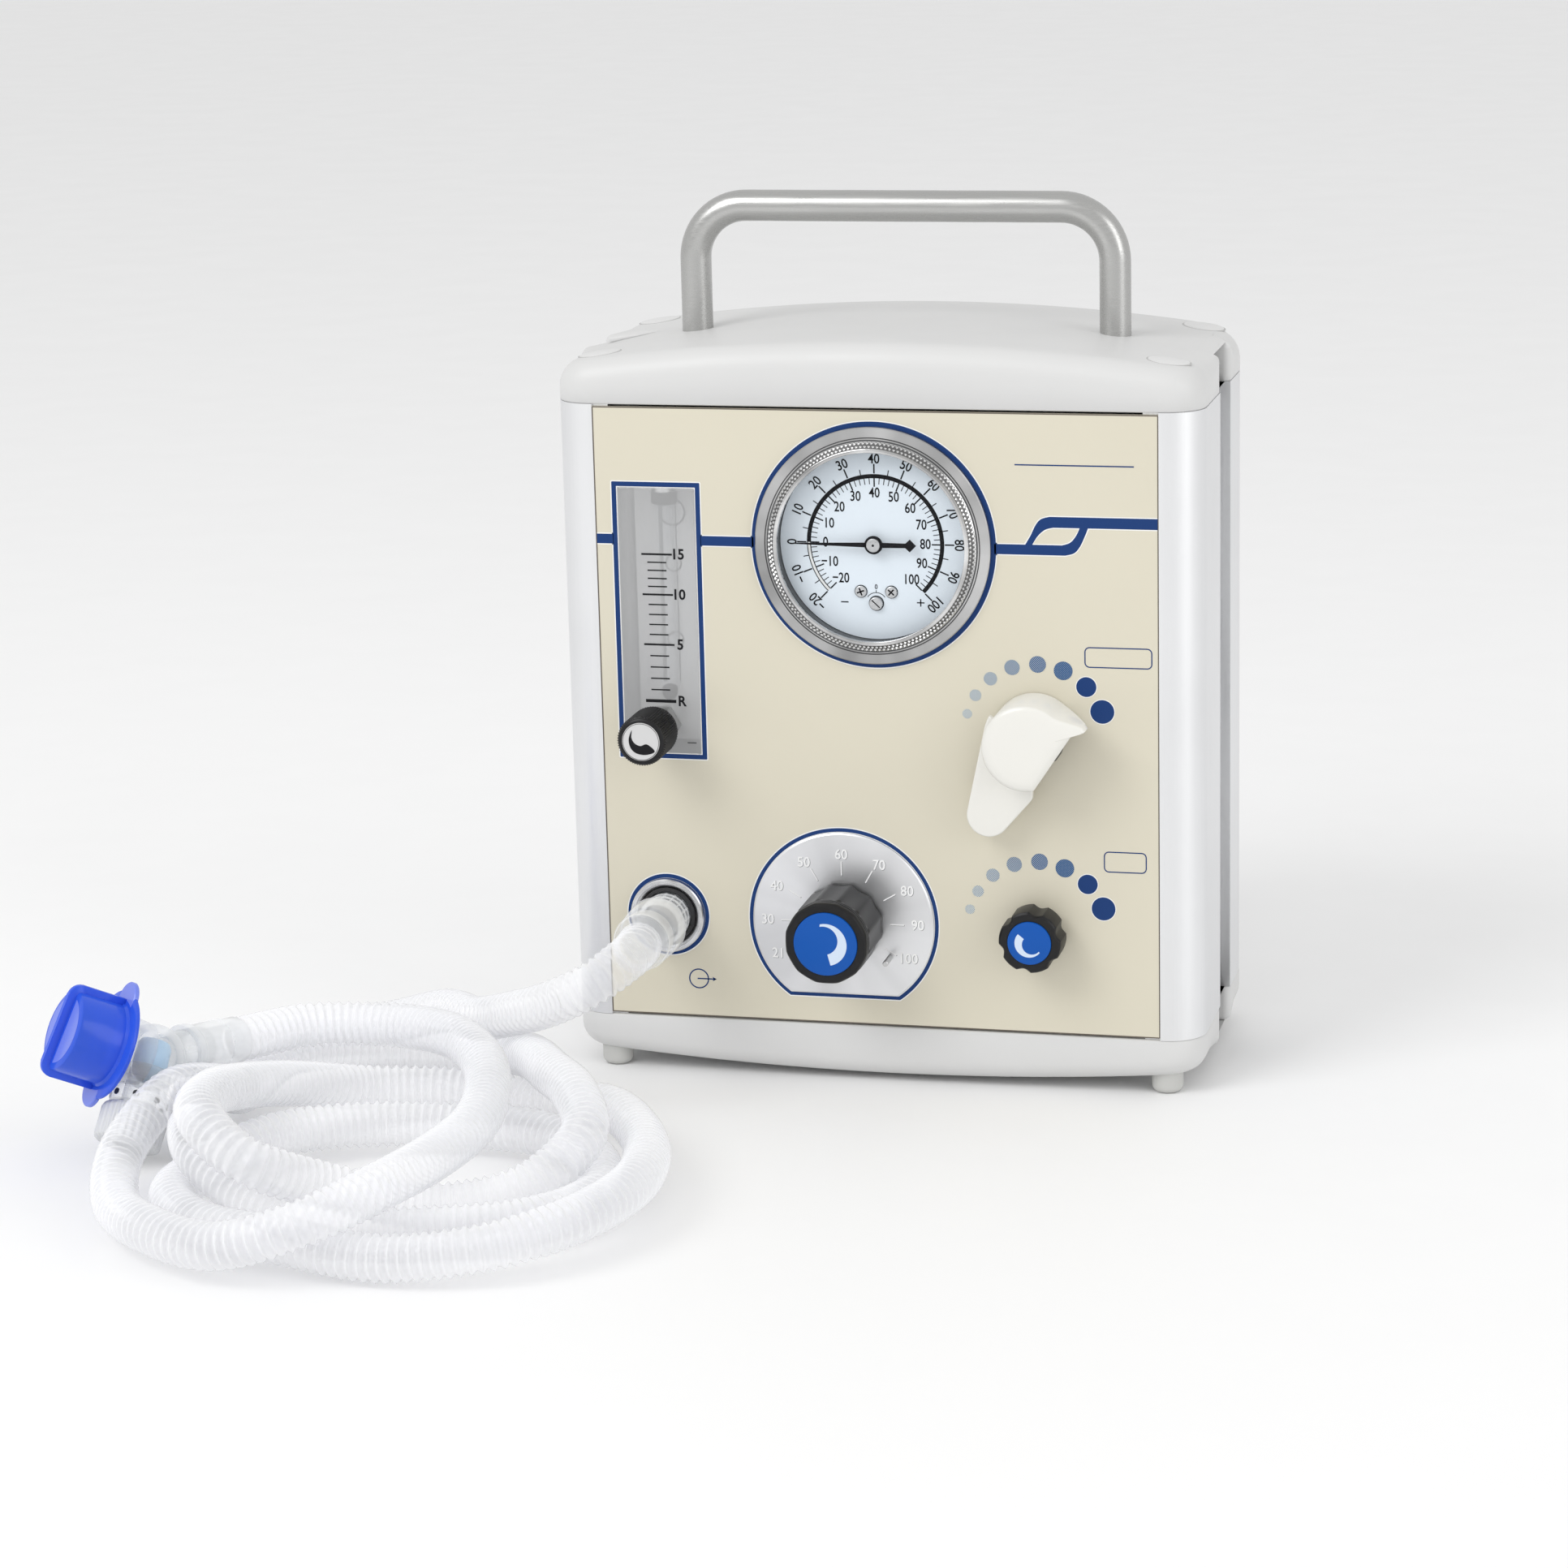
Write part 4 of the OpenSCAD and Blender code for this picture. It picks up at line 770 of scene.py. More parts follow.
def makeCap(name, node, s, crown, edgeRound, upward=True):
    low, high = boxOf(node)
    seam, crest = (low.z, high.z) if upward else (high.z, low.z)
    sign = 1 if upward else -1
    plan = casePlan(s, edgeRound, s["mouthRadius"])
    bm = bmesh.new()
    rings = []
    for inset, lift in ((s["seamEdge"], 0), (0, s["seamEdge"])):
        rings.append(addVerts(bm, [(*(p - n * inset), seam + sign * lift) for p, n, r in plan]))
    steps = 7
    for k in range(steps + 1):
        a = math.radians(90 * k / steps)
        rings.append(addVerts(bm, [
            (*(p - n * r * (1 - math.cos(a))), crest - sign * r * (1 - math.sin(a))) for p, n, r in plan]))
    for a, b in zip(rings, rings[1:]):
        bridge(bm, a, b)
    top = bm.faces.new(rings[-1])
    bottom = bm.faces.new(rings[0])
    bmesh.ops.triangulate(bm, faces=[top, bottom])
    strips = s["strips"]
    for i in range(1 - strips, strips):
        geometry = bm.verts[:] + bm.edges[:] + bm.faces[:]
        at = (i * high.x / strips * mm, 0, 0)
        bmesh.ops.bisect_plane(bm, geom=geometry, dist=1e-7, plane_co=at, plane_no=(1, 0, 0))
    for v in bm.verts:
        x = v.co.x / mm
        if abs(v.co.z / mm - seam) > 1:
            v.co.z -= sign * (crown - math.sqrt(crown * crown - x * x)) * mm
    cap = finishMesh(name, bm, capPlastic, "root", 50)
    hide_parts(node)
    return cap


makeCap("topCap", "top_cap", caseSettings, caseSettings["topCrown"], caseSettings["topRound"])
makeCap("bottomCap", "bottom_cap", caseSettings, caseSettings["bottomCrown"], caseSettings["bottomRound"],
        upward=False)


def crownHeight(x):
    r = caseSettings["topCrown"]
    return capHigh.z - r + math.sqrt(r * r - x * x)


def plugSeats(s):
    # place and upward direction of each screw plug on the arched top
    low, high = boxOf("screw_plugs")
    radius = s["plugRadius"]
    seats = []
    for side in (-1, 1):
        for y in (low.y + radius, high.y - radius):
            x = side * (high.x - radius)
            slope = Vector((side * abs(x) / s["topCrown"], 0, 1)).normalized()
            seats.append(((x, y, crownHeight(x)), slope))
    return seats


def makeScrewPlugs(s):
    radius, proud = s["plugRadius"], s["plugProud"]
    bm, grooves = bmesh.new(), bmesh.new()
    for place, slope in plugSeats(s):
        addLathe(bm, [(0, -3), (radius, -3), (radius, proud - 0.5), (radius - 0.15, proud - 0.15),
                      (radius - 0.6, proud), (0, proud + 0.25)], place, slope, 48)
        addLathe(grooves, [(radius, -0.3), (radius + 0.35, -0.3), (radius + 0.35, 0.04), (radius, 0.04)],
                 place, slope, 48, True)
    plugs = finishMesh("screwPlugs", bm, plugPlastic, "root", sharp=40)
    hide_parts("screw_plugs")
    finishMesh("plugGrooves", grooves, grooveGrey, "root")


footSettings = {"radius": 5, "edge": 2.2, "height": 7.5}


def makeFeet(s):
    low, high = boxOf("feet")
    radius, edge = s["radius"], s["edge"]
    profile = [(0, 0)]
    for degrees in range(0, 91, 15):
        a = math.radians(degrees)
        profile.append((radius * 0.55 + radius * 0.45 * math.sin(a), edge - edge * math.cos(a)))
    profile += [(radius, s["height"]), (0, s["height"])]
    bm = bmesh.new()
    for x in (low.x + radius, high.x - radius):
        for y in (low.y + radius, high.y - radius):
            addLathe(bm, profile, (x, y, 0), (0, 0, 1), 48)
    feet = finishMesh("roundFeet", bm, footRubber, "root", sharp=50)
    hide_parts("feet")


handleSettings = {"radius": 5.0, "bend": 17.0, "around": 40}


def makeHandle(s):
    low, high = boxOf("handle")
    legX = high.x - s["radius"]
    topZ = high.z - s["radius"]
    bendX, bendZ = legX - s["bend"], topZ - s["bend"]
    line = [(-legX, low.z), (-legX, capHigh.z), (-legX, bendZ)]
    line += arc((-bendX, bendZ), s["bend"], 180, 90, 16)[1:]
    line += [(-bendX * (1 - 2 * i / 8), topZ) for i in range(1, 8)]
    line += arc((bendX, bendZ), s["bend"], 90, 0, 16)
    line += [(legX, capHigh.z), (legX, low.z)]
    bm = bmesh.new()
    rings = []
    for i, (x, z) in enumerate(line):
        before, after = line[max(i - 1, 0)], line[min(i + 1, len(line) - 1)]
        ahead = Vector((after[0] - before[0], 0, after[1] - before[1])).normalized()
        side = Vector((0, 1, 0))
        middle = Vector((x, 0, z))
        rings.append(addVerts(bm, ringPoints(middle, side, ahead.cross(side), s["radius"], s["around"])))
    addTube(bm, rings)
    rod = finishMesh("handleRod", bm, rodSteel, "root", sharp=60)
    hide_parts("handle")


makeScrewPlugs(caseSettings)
makeFeet(footSettings)
makeHandle(handleSettings)
print("case made")


# prints on the front panel

printSettings = {
    "gaugeRing": (39.1, 37.4),          # outer and inner radius
    "fio2Ring": (31.0, 29.8),
    "outletRing": (13.5, 12.2),
    "lineWhite": 0.35,                  # white edge round the navy lines
    "flowFrame": (-84.4, 105.4, -55.6, 194.95),
    "flowFrameWidth": 1.5,
    "panelGap": 0.38,
    "bandHeight": 176.5, "bandWidth": 3.1,
    "dotRadius": 22.6,
    "dots": ((164.4, 1.56), (147.6, 1.86), (129, 2.15), (108.9, 2.45), (88, 2.67), (66.9, 2.97),
             (44.5, 3.19), (20.9, 3.79)),  # angle and radius of each dot
    "tones": (0.26, 0.31, 0.37, 0.44, 0.52, 0.60),  # how dark the first dots are; the rest are solid
    "titleRule": (45.2, 82.4, 202.7),   # from x to x, at a height
    "labelFrames": ((66.6, 139.2, 87.9, 145.8), (72.3, 73.5, 85.9, 80.3)),
    "labelLine": 0.35, "labelCorner": 1.6,
    "symbol": (9.5, -21.2),             # from the outlet's middle
    "symbolRing": (3.35, 2.95), "thinLine": 0.4,
}


def halftoneInk(name, share):
    # navy dots on the cream paint; share of the surface that is navy
    m, nodes, links, shader = newMaterial(name, (0.01, 0.055, 0.2), 0.38)
    coords = nodes.new("ShaderNodeTexCoord")
    mapping = nodes.new("ShaderNodeMapping")
    mapping.inputs["Rotation"].default_value = (0, math.radians(45), 0)
    cells = nodes.new("ShaderNodeTexVoronoi")
    cells.inputs["Scale"].default_value = 2100
    cells.inputs["Randomness"].default_value = 0
    step = nodes.new("ShaderNodeMapRange")
    step.inputs["From Min"].default_value = share - 0.12
    step.inputs["From Max"].default_value = share + 0.12
    links.new(coords.outputs["Object"], mapping.inputs["Vector"])
    links.new(mapping.outputs["Vector"], cells.inputs["Vector"])
    links.new(cells.outputs["Distance"], step.inputs["Value"])
    varyColor(nodes, links, shader, step.outputs["Result"], (0.008, 0.075, 0.215), (0.56, 0.60, 0.58))
    return m


def makePrints(s):
    y = panelFront
    white, navy = bmesh.new(), bmesh.new()
    edge, thin = s["lineWhite"], inkThickness / 2
    gaugeAt, fio2At, outletAt = (gauge.x, gauge.z), (fio2.x, fio2.z), (outlet.x, outlet.z)
    for at, (outer, inner) in ((gaugeAt, s["gaugeRing"]), (outletAt, s["outletRing"])):
        addRing(navy, at, outer, inner, y, 160)
        addRing(white, at, outer + edge, inner - edge, y, 160, thin)
    # ring with a flat foot round the scale plate
    flat = boxOf("scale_plate")[0].z - fio2.z

    def flatRing(radius, drop):
        a = math.degrees(math.asin((flat - drop) / radius))
        return arc(fio2At, radius, a, 180 - a, 96)
    outer, inner = s["fio2Ring"]
    addPlate(navy, [flatRing(outer, outer - inner + 0.2), flatRing(inner, 0.2)], y - inkThickness, y)
    whiteLoops = [flatRing(outer + edge, outer - inner + 0.2 + edge), flatRing(inner - edge, 0.2 - edge)]
    addPlate(white, whiteLoops, y - thin, y)
    # frame round the flow meter
    x0, z0, x1, z1 = s["flowFrame"]
    w = s["flowFrameWidth"]
    addPanelFrame(navy, (x0, z0), (x1, z1), w, 0.3, y)
    addPanelFrame(white, (x0 - edge, z0 - edge), (x1 + edge, z1 + edge), w + 2 * edge, 0.5, y, thin)
    # band across the panel: it climbs round a leaf-shaped gap on the right
    for bm, grow, thickness in ((navy, 0, inkThickness), (white, edge, thin)):
        width, height = s["bandWidth"] + 2 * grow, s["bandHeight"]
        ringEdge = gauge.x - s["gaugeRing"][0] + 0.6
        addBar(bm, panelLow.x + 0.3, height, x0 + 0.2, height, width, y, thickness)
        addBar(bm, x1 - 0.2, height, ringEdge, height, width, y, thickness)
        addLeaf(bm, y, grow, thickness)
    ruleFrom, ruleTo, ruleHeight = s["titleRule"]
    addBar(navy, ruleFrom, ruleHeight, ruleTo, ruleHeight, s["thinLine"], y)
    for n, at in (("maxp", maxp), ("pip", pip)):
        for i, (angle, radius) in enumerate(s["dots"]):
            a = math.radians(angle)
            x, z = at.x + s["dotRadius"] * math.cos(a), at.z + s["dotRadius"] * math.sin(a)
            spot = circleLoop(x, z, radius, 40)
            if i < len(tones):
                dot = plate(n + "Dot" + str(i + 1), [spot], y - inkThickness, y, tones[i])
            else:
                addPlate(navy, [spot], y - inkThickness, y)
                addRing(white, (x, z), radius + 0.25, radius - 0.01, y, 40)
    for left, bottom, right, top in s["labelFrames"]:
        addPanelFrame(navy, (left, bottom), (right, top), s["labelLine"], s["labelCorner"], y)
    # outlet symbol: a circle with an arrow leaving it
    cx, cz = outlet.x + s["symbol"][0], outlet.z + s["symbol"][1]
    addRing(navy, (cx, cz), *s["symbolRing"], y, 40)
    addBar(navy, cx - 0.5, cz, cx + 5.6, cz, s["thinLine"], y)
    arrow = ((5.9, 0), (4.5, 0.75), (4.9, 0), (4.5, -0.75))
    addPlate(navy, [[(cx + px, cz + pz) for px, pz in arrow]], y - inkThickness, y)
    gap = bmesh.new()
    addPanelFrame(gap, (panelLow.x, panelLow.z), (panelHigh.x, panelHigh.z), s["panelGap"], 0.3, y, thin)
    gapLine = finishMesh("panelGap", gap, gapBrown, "root")
    lines = finishMesh("navyPrints", navy, navyInk, "root")
    edges = finishMesh("whitePrints", white, whiteInk, "root")


def softCurve(points, each=5):
    # an open curve through the points
    ends = [Vector(p) for p in (points[0], *points, points[-1])]
    curve = []
    for i in range(len(points) - 1):
        curve += [tuple(p) for p in curveSpan(*ends[i:i + 4], each)]
    return curve + [tuple(points[-1])]


def addLeaf(bm, y, grow, thickness):
    # the right-hand band: it climbs at the left, steps down at the right and leaves a leaf between
    low, high = (174.5 - grow, 177.7 + grow), (183.2 - grow, 186.6 + grow)
    start, end = gauge.x + printSettings["gaugeRing"][0] - 0.6, panelHigh.x - 0.3
    tip = grow * 0.7
    climb = [(48.3 - grow, low[1]), (50.0 - grow, 180.6), (51.6 - grow, 183.9), (53.3 - tip, 185.8 + tip),
             (56.0, high[1])]
    fall = [(68.0 + grow, high[0]), (66.9 + grow, 180.4), (65.4 + grow, 177.3), (63.6 + tip, 175.3 - tip),
            (60.8, low[0])]
    leafLeft = [(50.5 + grow, low[1]), (52.3 + grow, 180.5), (54.6 + grow, 182.5 - tip), (57.2, high[0])]
    leafRight = [(65.4 - grow, high[0]), (64.2 - grow, 180.7), (62.4 - grow, 178.6 + tip), (59.8, low[1])]
    outline = [(start, low[1])] + softCurve(climb) + [(end, high[1]), (end, high[0])] + softCurve(fall)
    outline.append((start, low[0]))
    addPlate(bm, [outline, softCurve(leafLeft) + softCurve(leafRight)], y - thickness, y)


tones = [halftoneInk("halftone" + str(i + 1), share) for i, share in enumerate(printSettings["tones"])]
makePrints(printSettings)
print("prints made")


# the pressure gauge

gaugeSettings = {
    "flange": 37.6, "flangeStep": 34.3,
    "knurlBack": 33.3, "knurlFront": 31.3, "teeth": 150,
    "lip": 29.9, "window": 30.6,
    "arc": (22.0, 20.7), "arcLine": 0.28,
    "outerMajor": (22.2, 25.2), "outerMinor": (22.0, 23.7),
    "innerMajor": (20.7, 18.0), "innerMinor": (20.7, 18.8),
    "outerNumbers": 26.7, "innerNumbers": 16.0, "digit": 3.0,
    "zeroAngle": 180, "degreesPerUnit": 2.25, "least": -20, "most": 100,
    "screwX": 4.9, "screwDrop": 15.4, "screwRadius": 1.85,
    "zeroDrop": 19.1, "zeroRadius": 2.1,
    "recess": (1.25, 0.5),              # arm and width of the screws' cross
    "zeroArc": (3.5, 3.3), "zeroTick": 4.2, "zeroMarks": 5.2, "zeroDigit": 1.5,
    "plus": (14.2, -18.6), "minus": (-10.2, -18.9), "signArm": 1.2, "signWidth": 0.36,
}


def polar(at, radius, degrees):
    a = math.radians(degrees)
    return at[0] + radius * math.cos(a), at[1] + radius * math.sin(a)


def addTick(bm, at, fromRadius, toRadius, degrees, width, y):
    addBar(bm, *polar(at, fromRadius, degrees), *polar(at, toRadius, degrees), width, y)


def crossLoop(x, z, arm, width, turn):
    # outline of a cross, turned counter-clockwise
    w = width / 2
    points = [(arm, w), (w, w), (w, arm), (-w, arm), (-w, w), (-arm, w),
              (-arm, -w), (-w, -w), (-w, -arm), (w, -arm), (w, -w), (arm, -w)]
    c, s = math.cos(math.radians(turn)), math.sin(math.radians(turn))
    return [(x + c * px - s * pz, z + s * px + c * pz) for px, pz in points]


def addScrewHead(bm, x, z, radius, yFront, yBack, recess):
    # a round head with a sunk recess
    sunk = yFront + 0.45
    flat = radius * 0.88
    addPlate(bm, [circleLoop(x, z, flat, 40), recess], yFront, sunk)
    addLathe(bm, [(flat, yFront), (radius * 0.97, yFront + 0.08), (radius, yFront + 0.25),
                  (radius, yBack), (0, yBack)], (x, 0, z), steps=40)
    addLathe(bm, [(flat, sunk), (0, sunk)], (x, 0, z), steps=40)


def makeGauge(s):
    at = (gauge.x, gauge.z)
    place = (gauge.x, 0, gauge.z)
    flangeFront = boxOf("gauge_flange")[0].y
    bezelFront = boxOf("gauge_bezel")[0].y
    windowFront, windowBack = (v.y for v in boxOf("gauge_window"))
    dialFront, dialBack = (v.y for v in boxOf("gauge_dial"))
    step, glass = s["flangeStep"], s["window"]
    knurlBack, knurlFront, lip = s["knurlBack"], s["knurlFront"], s["lip"]
    profile = [(glass + 0.4, panelFront), (s["flange"], panelFront), (s["flange"], flangeFront + 0.35),
               (s["flange"] - 0.3, flangeFront), (step + 0.2, flangeFront),
               (step + 0.15, flangeFront + 0.35), (step - 0.15, flangeFront + 0.35),
               (step - 0.2, flangeFront), (glass + 0.4, flangeFront)]
    flange = lathe("gaugeFlange", profile, place, satinSteel, "root", steps=192, closedProfile=True)
    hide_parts("gauge_flange")
    profile = [(glass, flangeFront), (knurlBack, flangeFront), (knurlBack, flangeFront - 0.25),
               (knurlFront, bezelFront + 0.5), (knurlFront - 0.15, bezelFront + 0.15),
               (knurlFront - 0.45, bezelFront), (lip + 0.35, bezelFront), (lip + 0.1, bezelFront + 0.12),
               (lip, bezelFront + 0.4), (lip, windowFront - 0.02), (glass, windowFront - 0.02)]
    bezel = lathe("gaugeBezel", profile, place, chrome, "root", steps=192, closedProfile=True)
    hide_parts("gauge_bezel")
    bm = bmesh.new()
    addRing(bm, at, knurlBack + 0.45, knurlBack - 0.02, flangeFront, 192)
    addRing(bm, at, step + 0.12, step - 0.12, flangeFront + 0.34, 192)
    grooves = finishMesh("gaugeGrooves", bm, boreLine, "root")
    profile = [(knurlBack + 0.04, flangeFront - 0.2), (knurlFront + 0.04, bezelFront + 0.48)]
    cone = lathe("gaugeCone", profile, place, knurlShade, "root", steps=192)
    # two rows of small pyramids on the cone
    run = Vector((knurlFront - knurlBack, 0, 0)) + Vector((0, bezelFront + 0.5 - flangeFront + 0.25, 0))
    out = Vector((-run.y, run.x, 0)).normalized()
    across = Vector((0, 0, math.pi * knurlBack / s["teeth"] * 0.8))
    along = run * 0.235
    toothHeight = 0.55
    for row, share in ((0, 0.26), (1, 0.74)):
        bm = bmesh.new()
        middle = Vector((knurlBack, flangeFront - 0.25, 0)) + run * share
        base = addVerts(bm, [middle - along, middle + across, middle + along, middle - across])
        tip = addVerts(bm, [middle + out * toothHeight])[0]
        for i in range(4):
            bm.faces.new((base[i], base[(i + 1) % 4], tip))
        bm.faces.new(base)
        teeth = repeatPiece("gaugeTeeth" + str(row + 1), bm, knurlSteel, "root", s["teeth"], place,
                            firstAngle=row * 180 / s["teeth"], angleStep=360 / s["teeth"])
    profile = [(0, windowFront), (glass - 0.3, windowFront), (glass - 0.05, windowFront + 0.2),
               (glass - 0.05, windowBack), (0, windowBack)]
    window = lathe("gaugeWindow", profile, place, windowGlass, "root", steps=128)
    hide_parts("gauge_window")
    profile = [(0, dialFront), (glass, dialFront), (glass, dialBack), (0, dialBack)]
    dial = lathe("gaugeDial", profile, place, dialPaint, "root", steps=128)
    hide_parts("gauge_dial")
    makeDialMarks(s, at, dialFront)
    # screws in the dial
    screwFront = boxOf("dial_screws")[0].y
    sunkFront, sunkBack = 0.3, 0.44  # painted shade: the dark floor of a recess, behind the head's face
    bm, shade = bmesh.new(), bmesh.new()
    for side, turn in ((-1, 20), (1, 48)):
        x, z = gauge.x + side * s["screwX"], gauge.z - s["screwDrop"]
        recess = crossLoop(x, z, *s["recess"], turn)
        addScrewHead(bm, x, z, s["screwRadius"], screwFront, dialFront, recess)
        addPlate(shade, [recess], screwFront + sunkFront, screwFront + sunkBack)
        addRing(shade, (x, z), s["screwRadius"] + 0.22, s["screwRadius"] + 0.03, dialFront, 40)
    screws = finishMesh("dialScrews", bm, zincSteel, "root")
    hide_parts("dial_screws")
    zeroLow, zeroHigh = boxOf("zero_screw")
    x, z = (zeroLow.x + zeroHigh.x) / 2, (zeroLow.z + zeroHigh.z) / 2
    bm = bmesh.new()
    slot = [(x + px, z + pz) for px, pz in ((-1.35, 1.05), (1.15, -1.3), (1.4, -1.0), (-1.1, 1.35))]
    addScrewHead(bm, x, z, s["zeroRadius"], zeroLow.y, dialFront, slot)
    zero = finishMesh("zeroScrew", bm, zincSteel, "zero_adjuster")
    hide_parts("zero_screw")
    addRing(shade, (x, z), s["zeroRadius"] + 0.34, s["zeroRadius"] + 0.05, dialFront, 40)
    shades = finishMesh("screwShade", shade, blackInkAndShade, "root")
    # painted shade: a dark floor in the zero screw's slot
    bm = bmesh.new()
    addPlate(bm, [slot], zeroLow.y + sunkFront, zeroLow.y + sunkBack)
    floor = finishMesh("zeroSlotShade", bm, blackInkAndShade, "zero_adjuster")


def makeDialMarks(s, at, y):
    markLayer, pale = bmesh.new(), bmesh.new()

    def angleOf(value):
        return s["zeroAngle"] - value * s["degreesPerUnit"]
    outer, inner = s["arc"]
    line = s["arcLine"]
    start, zero, end = angleOf(s["least"]), angleOf(0), angleOf(s["most"])
    addBand(markLayer, at, outer, inner, end, zero, y, 120)
    addBand(markLayer, at, outer, outer - line, zero, start, y, 24)
    addBand(markLayer, at, inner + line, inner, zero, start, y, 24)
    addBand(pale, at, outer - line, inner + line, zero, start, y, 24)
    for value in range(s["least"], s["most"] + 1, 2):
        major = value % 10 == 0
        reach = s["innerMajor"] if major else s["innerMinor"]
        addTick(markLayer, at, *reach, angleOf(value), 0.42 if major else 0.24, y)
    for value in range(s["least"], s["most"] + 1, 5):
        major = value % 10 == 0
        reach = s["outerMajor"] if major else s["outerMinor"]
        addTick(markLayer, at, *reach, angleOf(value), 0.45 if major else 0.28, y)
    for value in range(s["least"], s["most"] + 1, 10):
        a = angleOf(value)
        x, z = polar(at, s["outerNumbers"], a)
        addText(markLayer, str(value).replace("-", "−"), s["digit"], x, z, y, turn=a - 90, width=0.86)
    for value in range(s["least"], s["most"] + 1, 10):
        x, z = polar(at, s["innerNumbers"], angleOf(value))
        addText(markLayer, str(value).replace("-", "−"), s["digit"] + 0.1, x, z, y, width=0.78)
    # small scale over the zero screw
    middle = (at[0], at[1] - s["zeroDrop"])
    addBand(markLayer, middle, *s["zeroArc"], 35, 145, y, 16)
    addTick(markLayer, middle, s["zeroArc"][0], s["zeroTick"], 90, 0.2, y)
    for mark, turn in (("−", 142), ("0", 90), ("+", 38)):
        x, z = polar(middle, s["zeroMarks"], turn)
        addText(markLayer, mark, s["zeroDigit"], x, z, y, width=0.9)
    # plus and minus at the ends of the scale
    arm, width = s["signArm"], s["signWidth"]
    for sign in ("plus", "minus"):
        x, z = at[0] + s[sign][0], at[1] + s[sign][1]
        addBar(markLayer, x - arm, z, x + arm, z, width, y)
        if sign == "plus":
            addBar(markLayer, x, z - arm, x, z + arm, width, y)
    marks = finishMesh("dialMarks", markLayer, blackInkAndShade, "root")
    between = finishMesh("dialPaleBand", pale, whiteInk, "root")


needleSettings = {"tip": 26.6, "tail": 13.6, "hub": 2.9, "cap": 2.2, "dot": 0.4}


def makeNeedle(s):
    x, z = gauge.x, gauge.z
    front = boxOf("gauge_needle")[0].y
    bladeFront = front + 0.7
    blade = [(-s["tip"], 0.12), (-s["tip"], -0.12), (-2, -0.75), (2, -0.8), (10.2, -0.7), (11.6, -2.0),
             (s["tail"], 0), (11.6, 2.0), (10.2, 0.7), (2, 0.8), (-2, 0.75)]
    bm = bmesh.new()
    addPlate(bm, [[(x + px, z + pz) for px, pz in blade]], bladeFront, bladeFront + 0.4)
    hub, cap, dot = s["hub"], s["cap"], s["dot"]
    addLathe(bm, [(0, bladeFront - 0.15), (hub - 0.15, bladeFront - 0.15), (hub, bladeFront),
                  (hub, bladeFront + 0.5), (0, bladeFront + 0.5)], (x, 0, z), steps=48)
    addLathe(bm, [(0, front - 0.02), (dot, front - 0.02), (dot, front + 0.2), (0, front + 0.2)],
             (x, 0, z), steps=24)
    needle = finishMesh("gaugeNeedle", bm, blackInkAndShade, "needle")
    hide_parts("gauge_needle")
    profile = [(0, front), (cap - 0.35, front), (cap - 0.08, front + 0.12), (cap, front + 0.35),
               (cap, bladeFront), (0, bladeFront)]
    cap = lathe("needleCap", profile, (x, 0, z), zincSteel, "needle", steps=48)


makeGauge(gaugeSettings)
makeNeedle(needleSettings)
print("gauge made")


# the flow meter

flowSettings = {
    "edge": 0.9, "softEdge": 0.5, "lightSheetInset": 0.3,
    "bore": 2.9, "boreFoot": 127.6,     # radius, and height of its lower end
    "boreShade": (-3.0, -1.7), "boreLine": (2.5, 2.85),  # painted shade: the dark strips behind the bore, from x to x
    "scale": {15: 172.0, 10: 159.0, 5: 142.8, 0: 124.4},   # height of each long tick
    "longTick": 5.0, "shortTick": 3.1, "between": 4,
    "numberX": 6.9, "digit": 3.2,
    "rearRings": (165.2, 140.2), "rearRing": 2.8, "topRing": (4.4, 3.9), "topRingDrop": 8,
    "rule": (8.3, 11.3, 111.0),         # short printed line beside the knob
    "knobTeeth": 60, "knobDisc": 6.2,
    "crescent": ((-2.8, 3.7), (-3.9, 0.75), (-3.3, -2.1), (-1.4, -3.75), (1.7, -4.1), (4.5, -2.9),
                 (2.0, -0.7), (-0.2, -1.3), (-2.1, -0.4), (-3.0, 1.4)),
}


def smoothLoop(points, each=6):
    # a closed curve through the points
    n, curve = len(points), []
    for i in range(n):
        around = [Vector(points[(i + k - 1) % n]) for k in range(4)]
        curve += [tuple(p) for p in curveSpan(*around, each)]
    return curve


def boxLoop(x0, z0, x1, z1):
    return [(x0, z0), (x1, z0), (x1, z1), (x0, z1)]


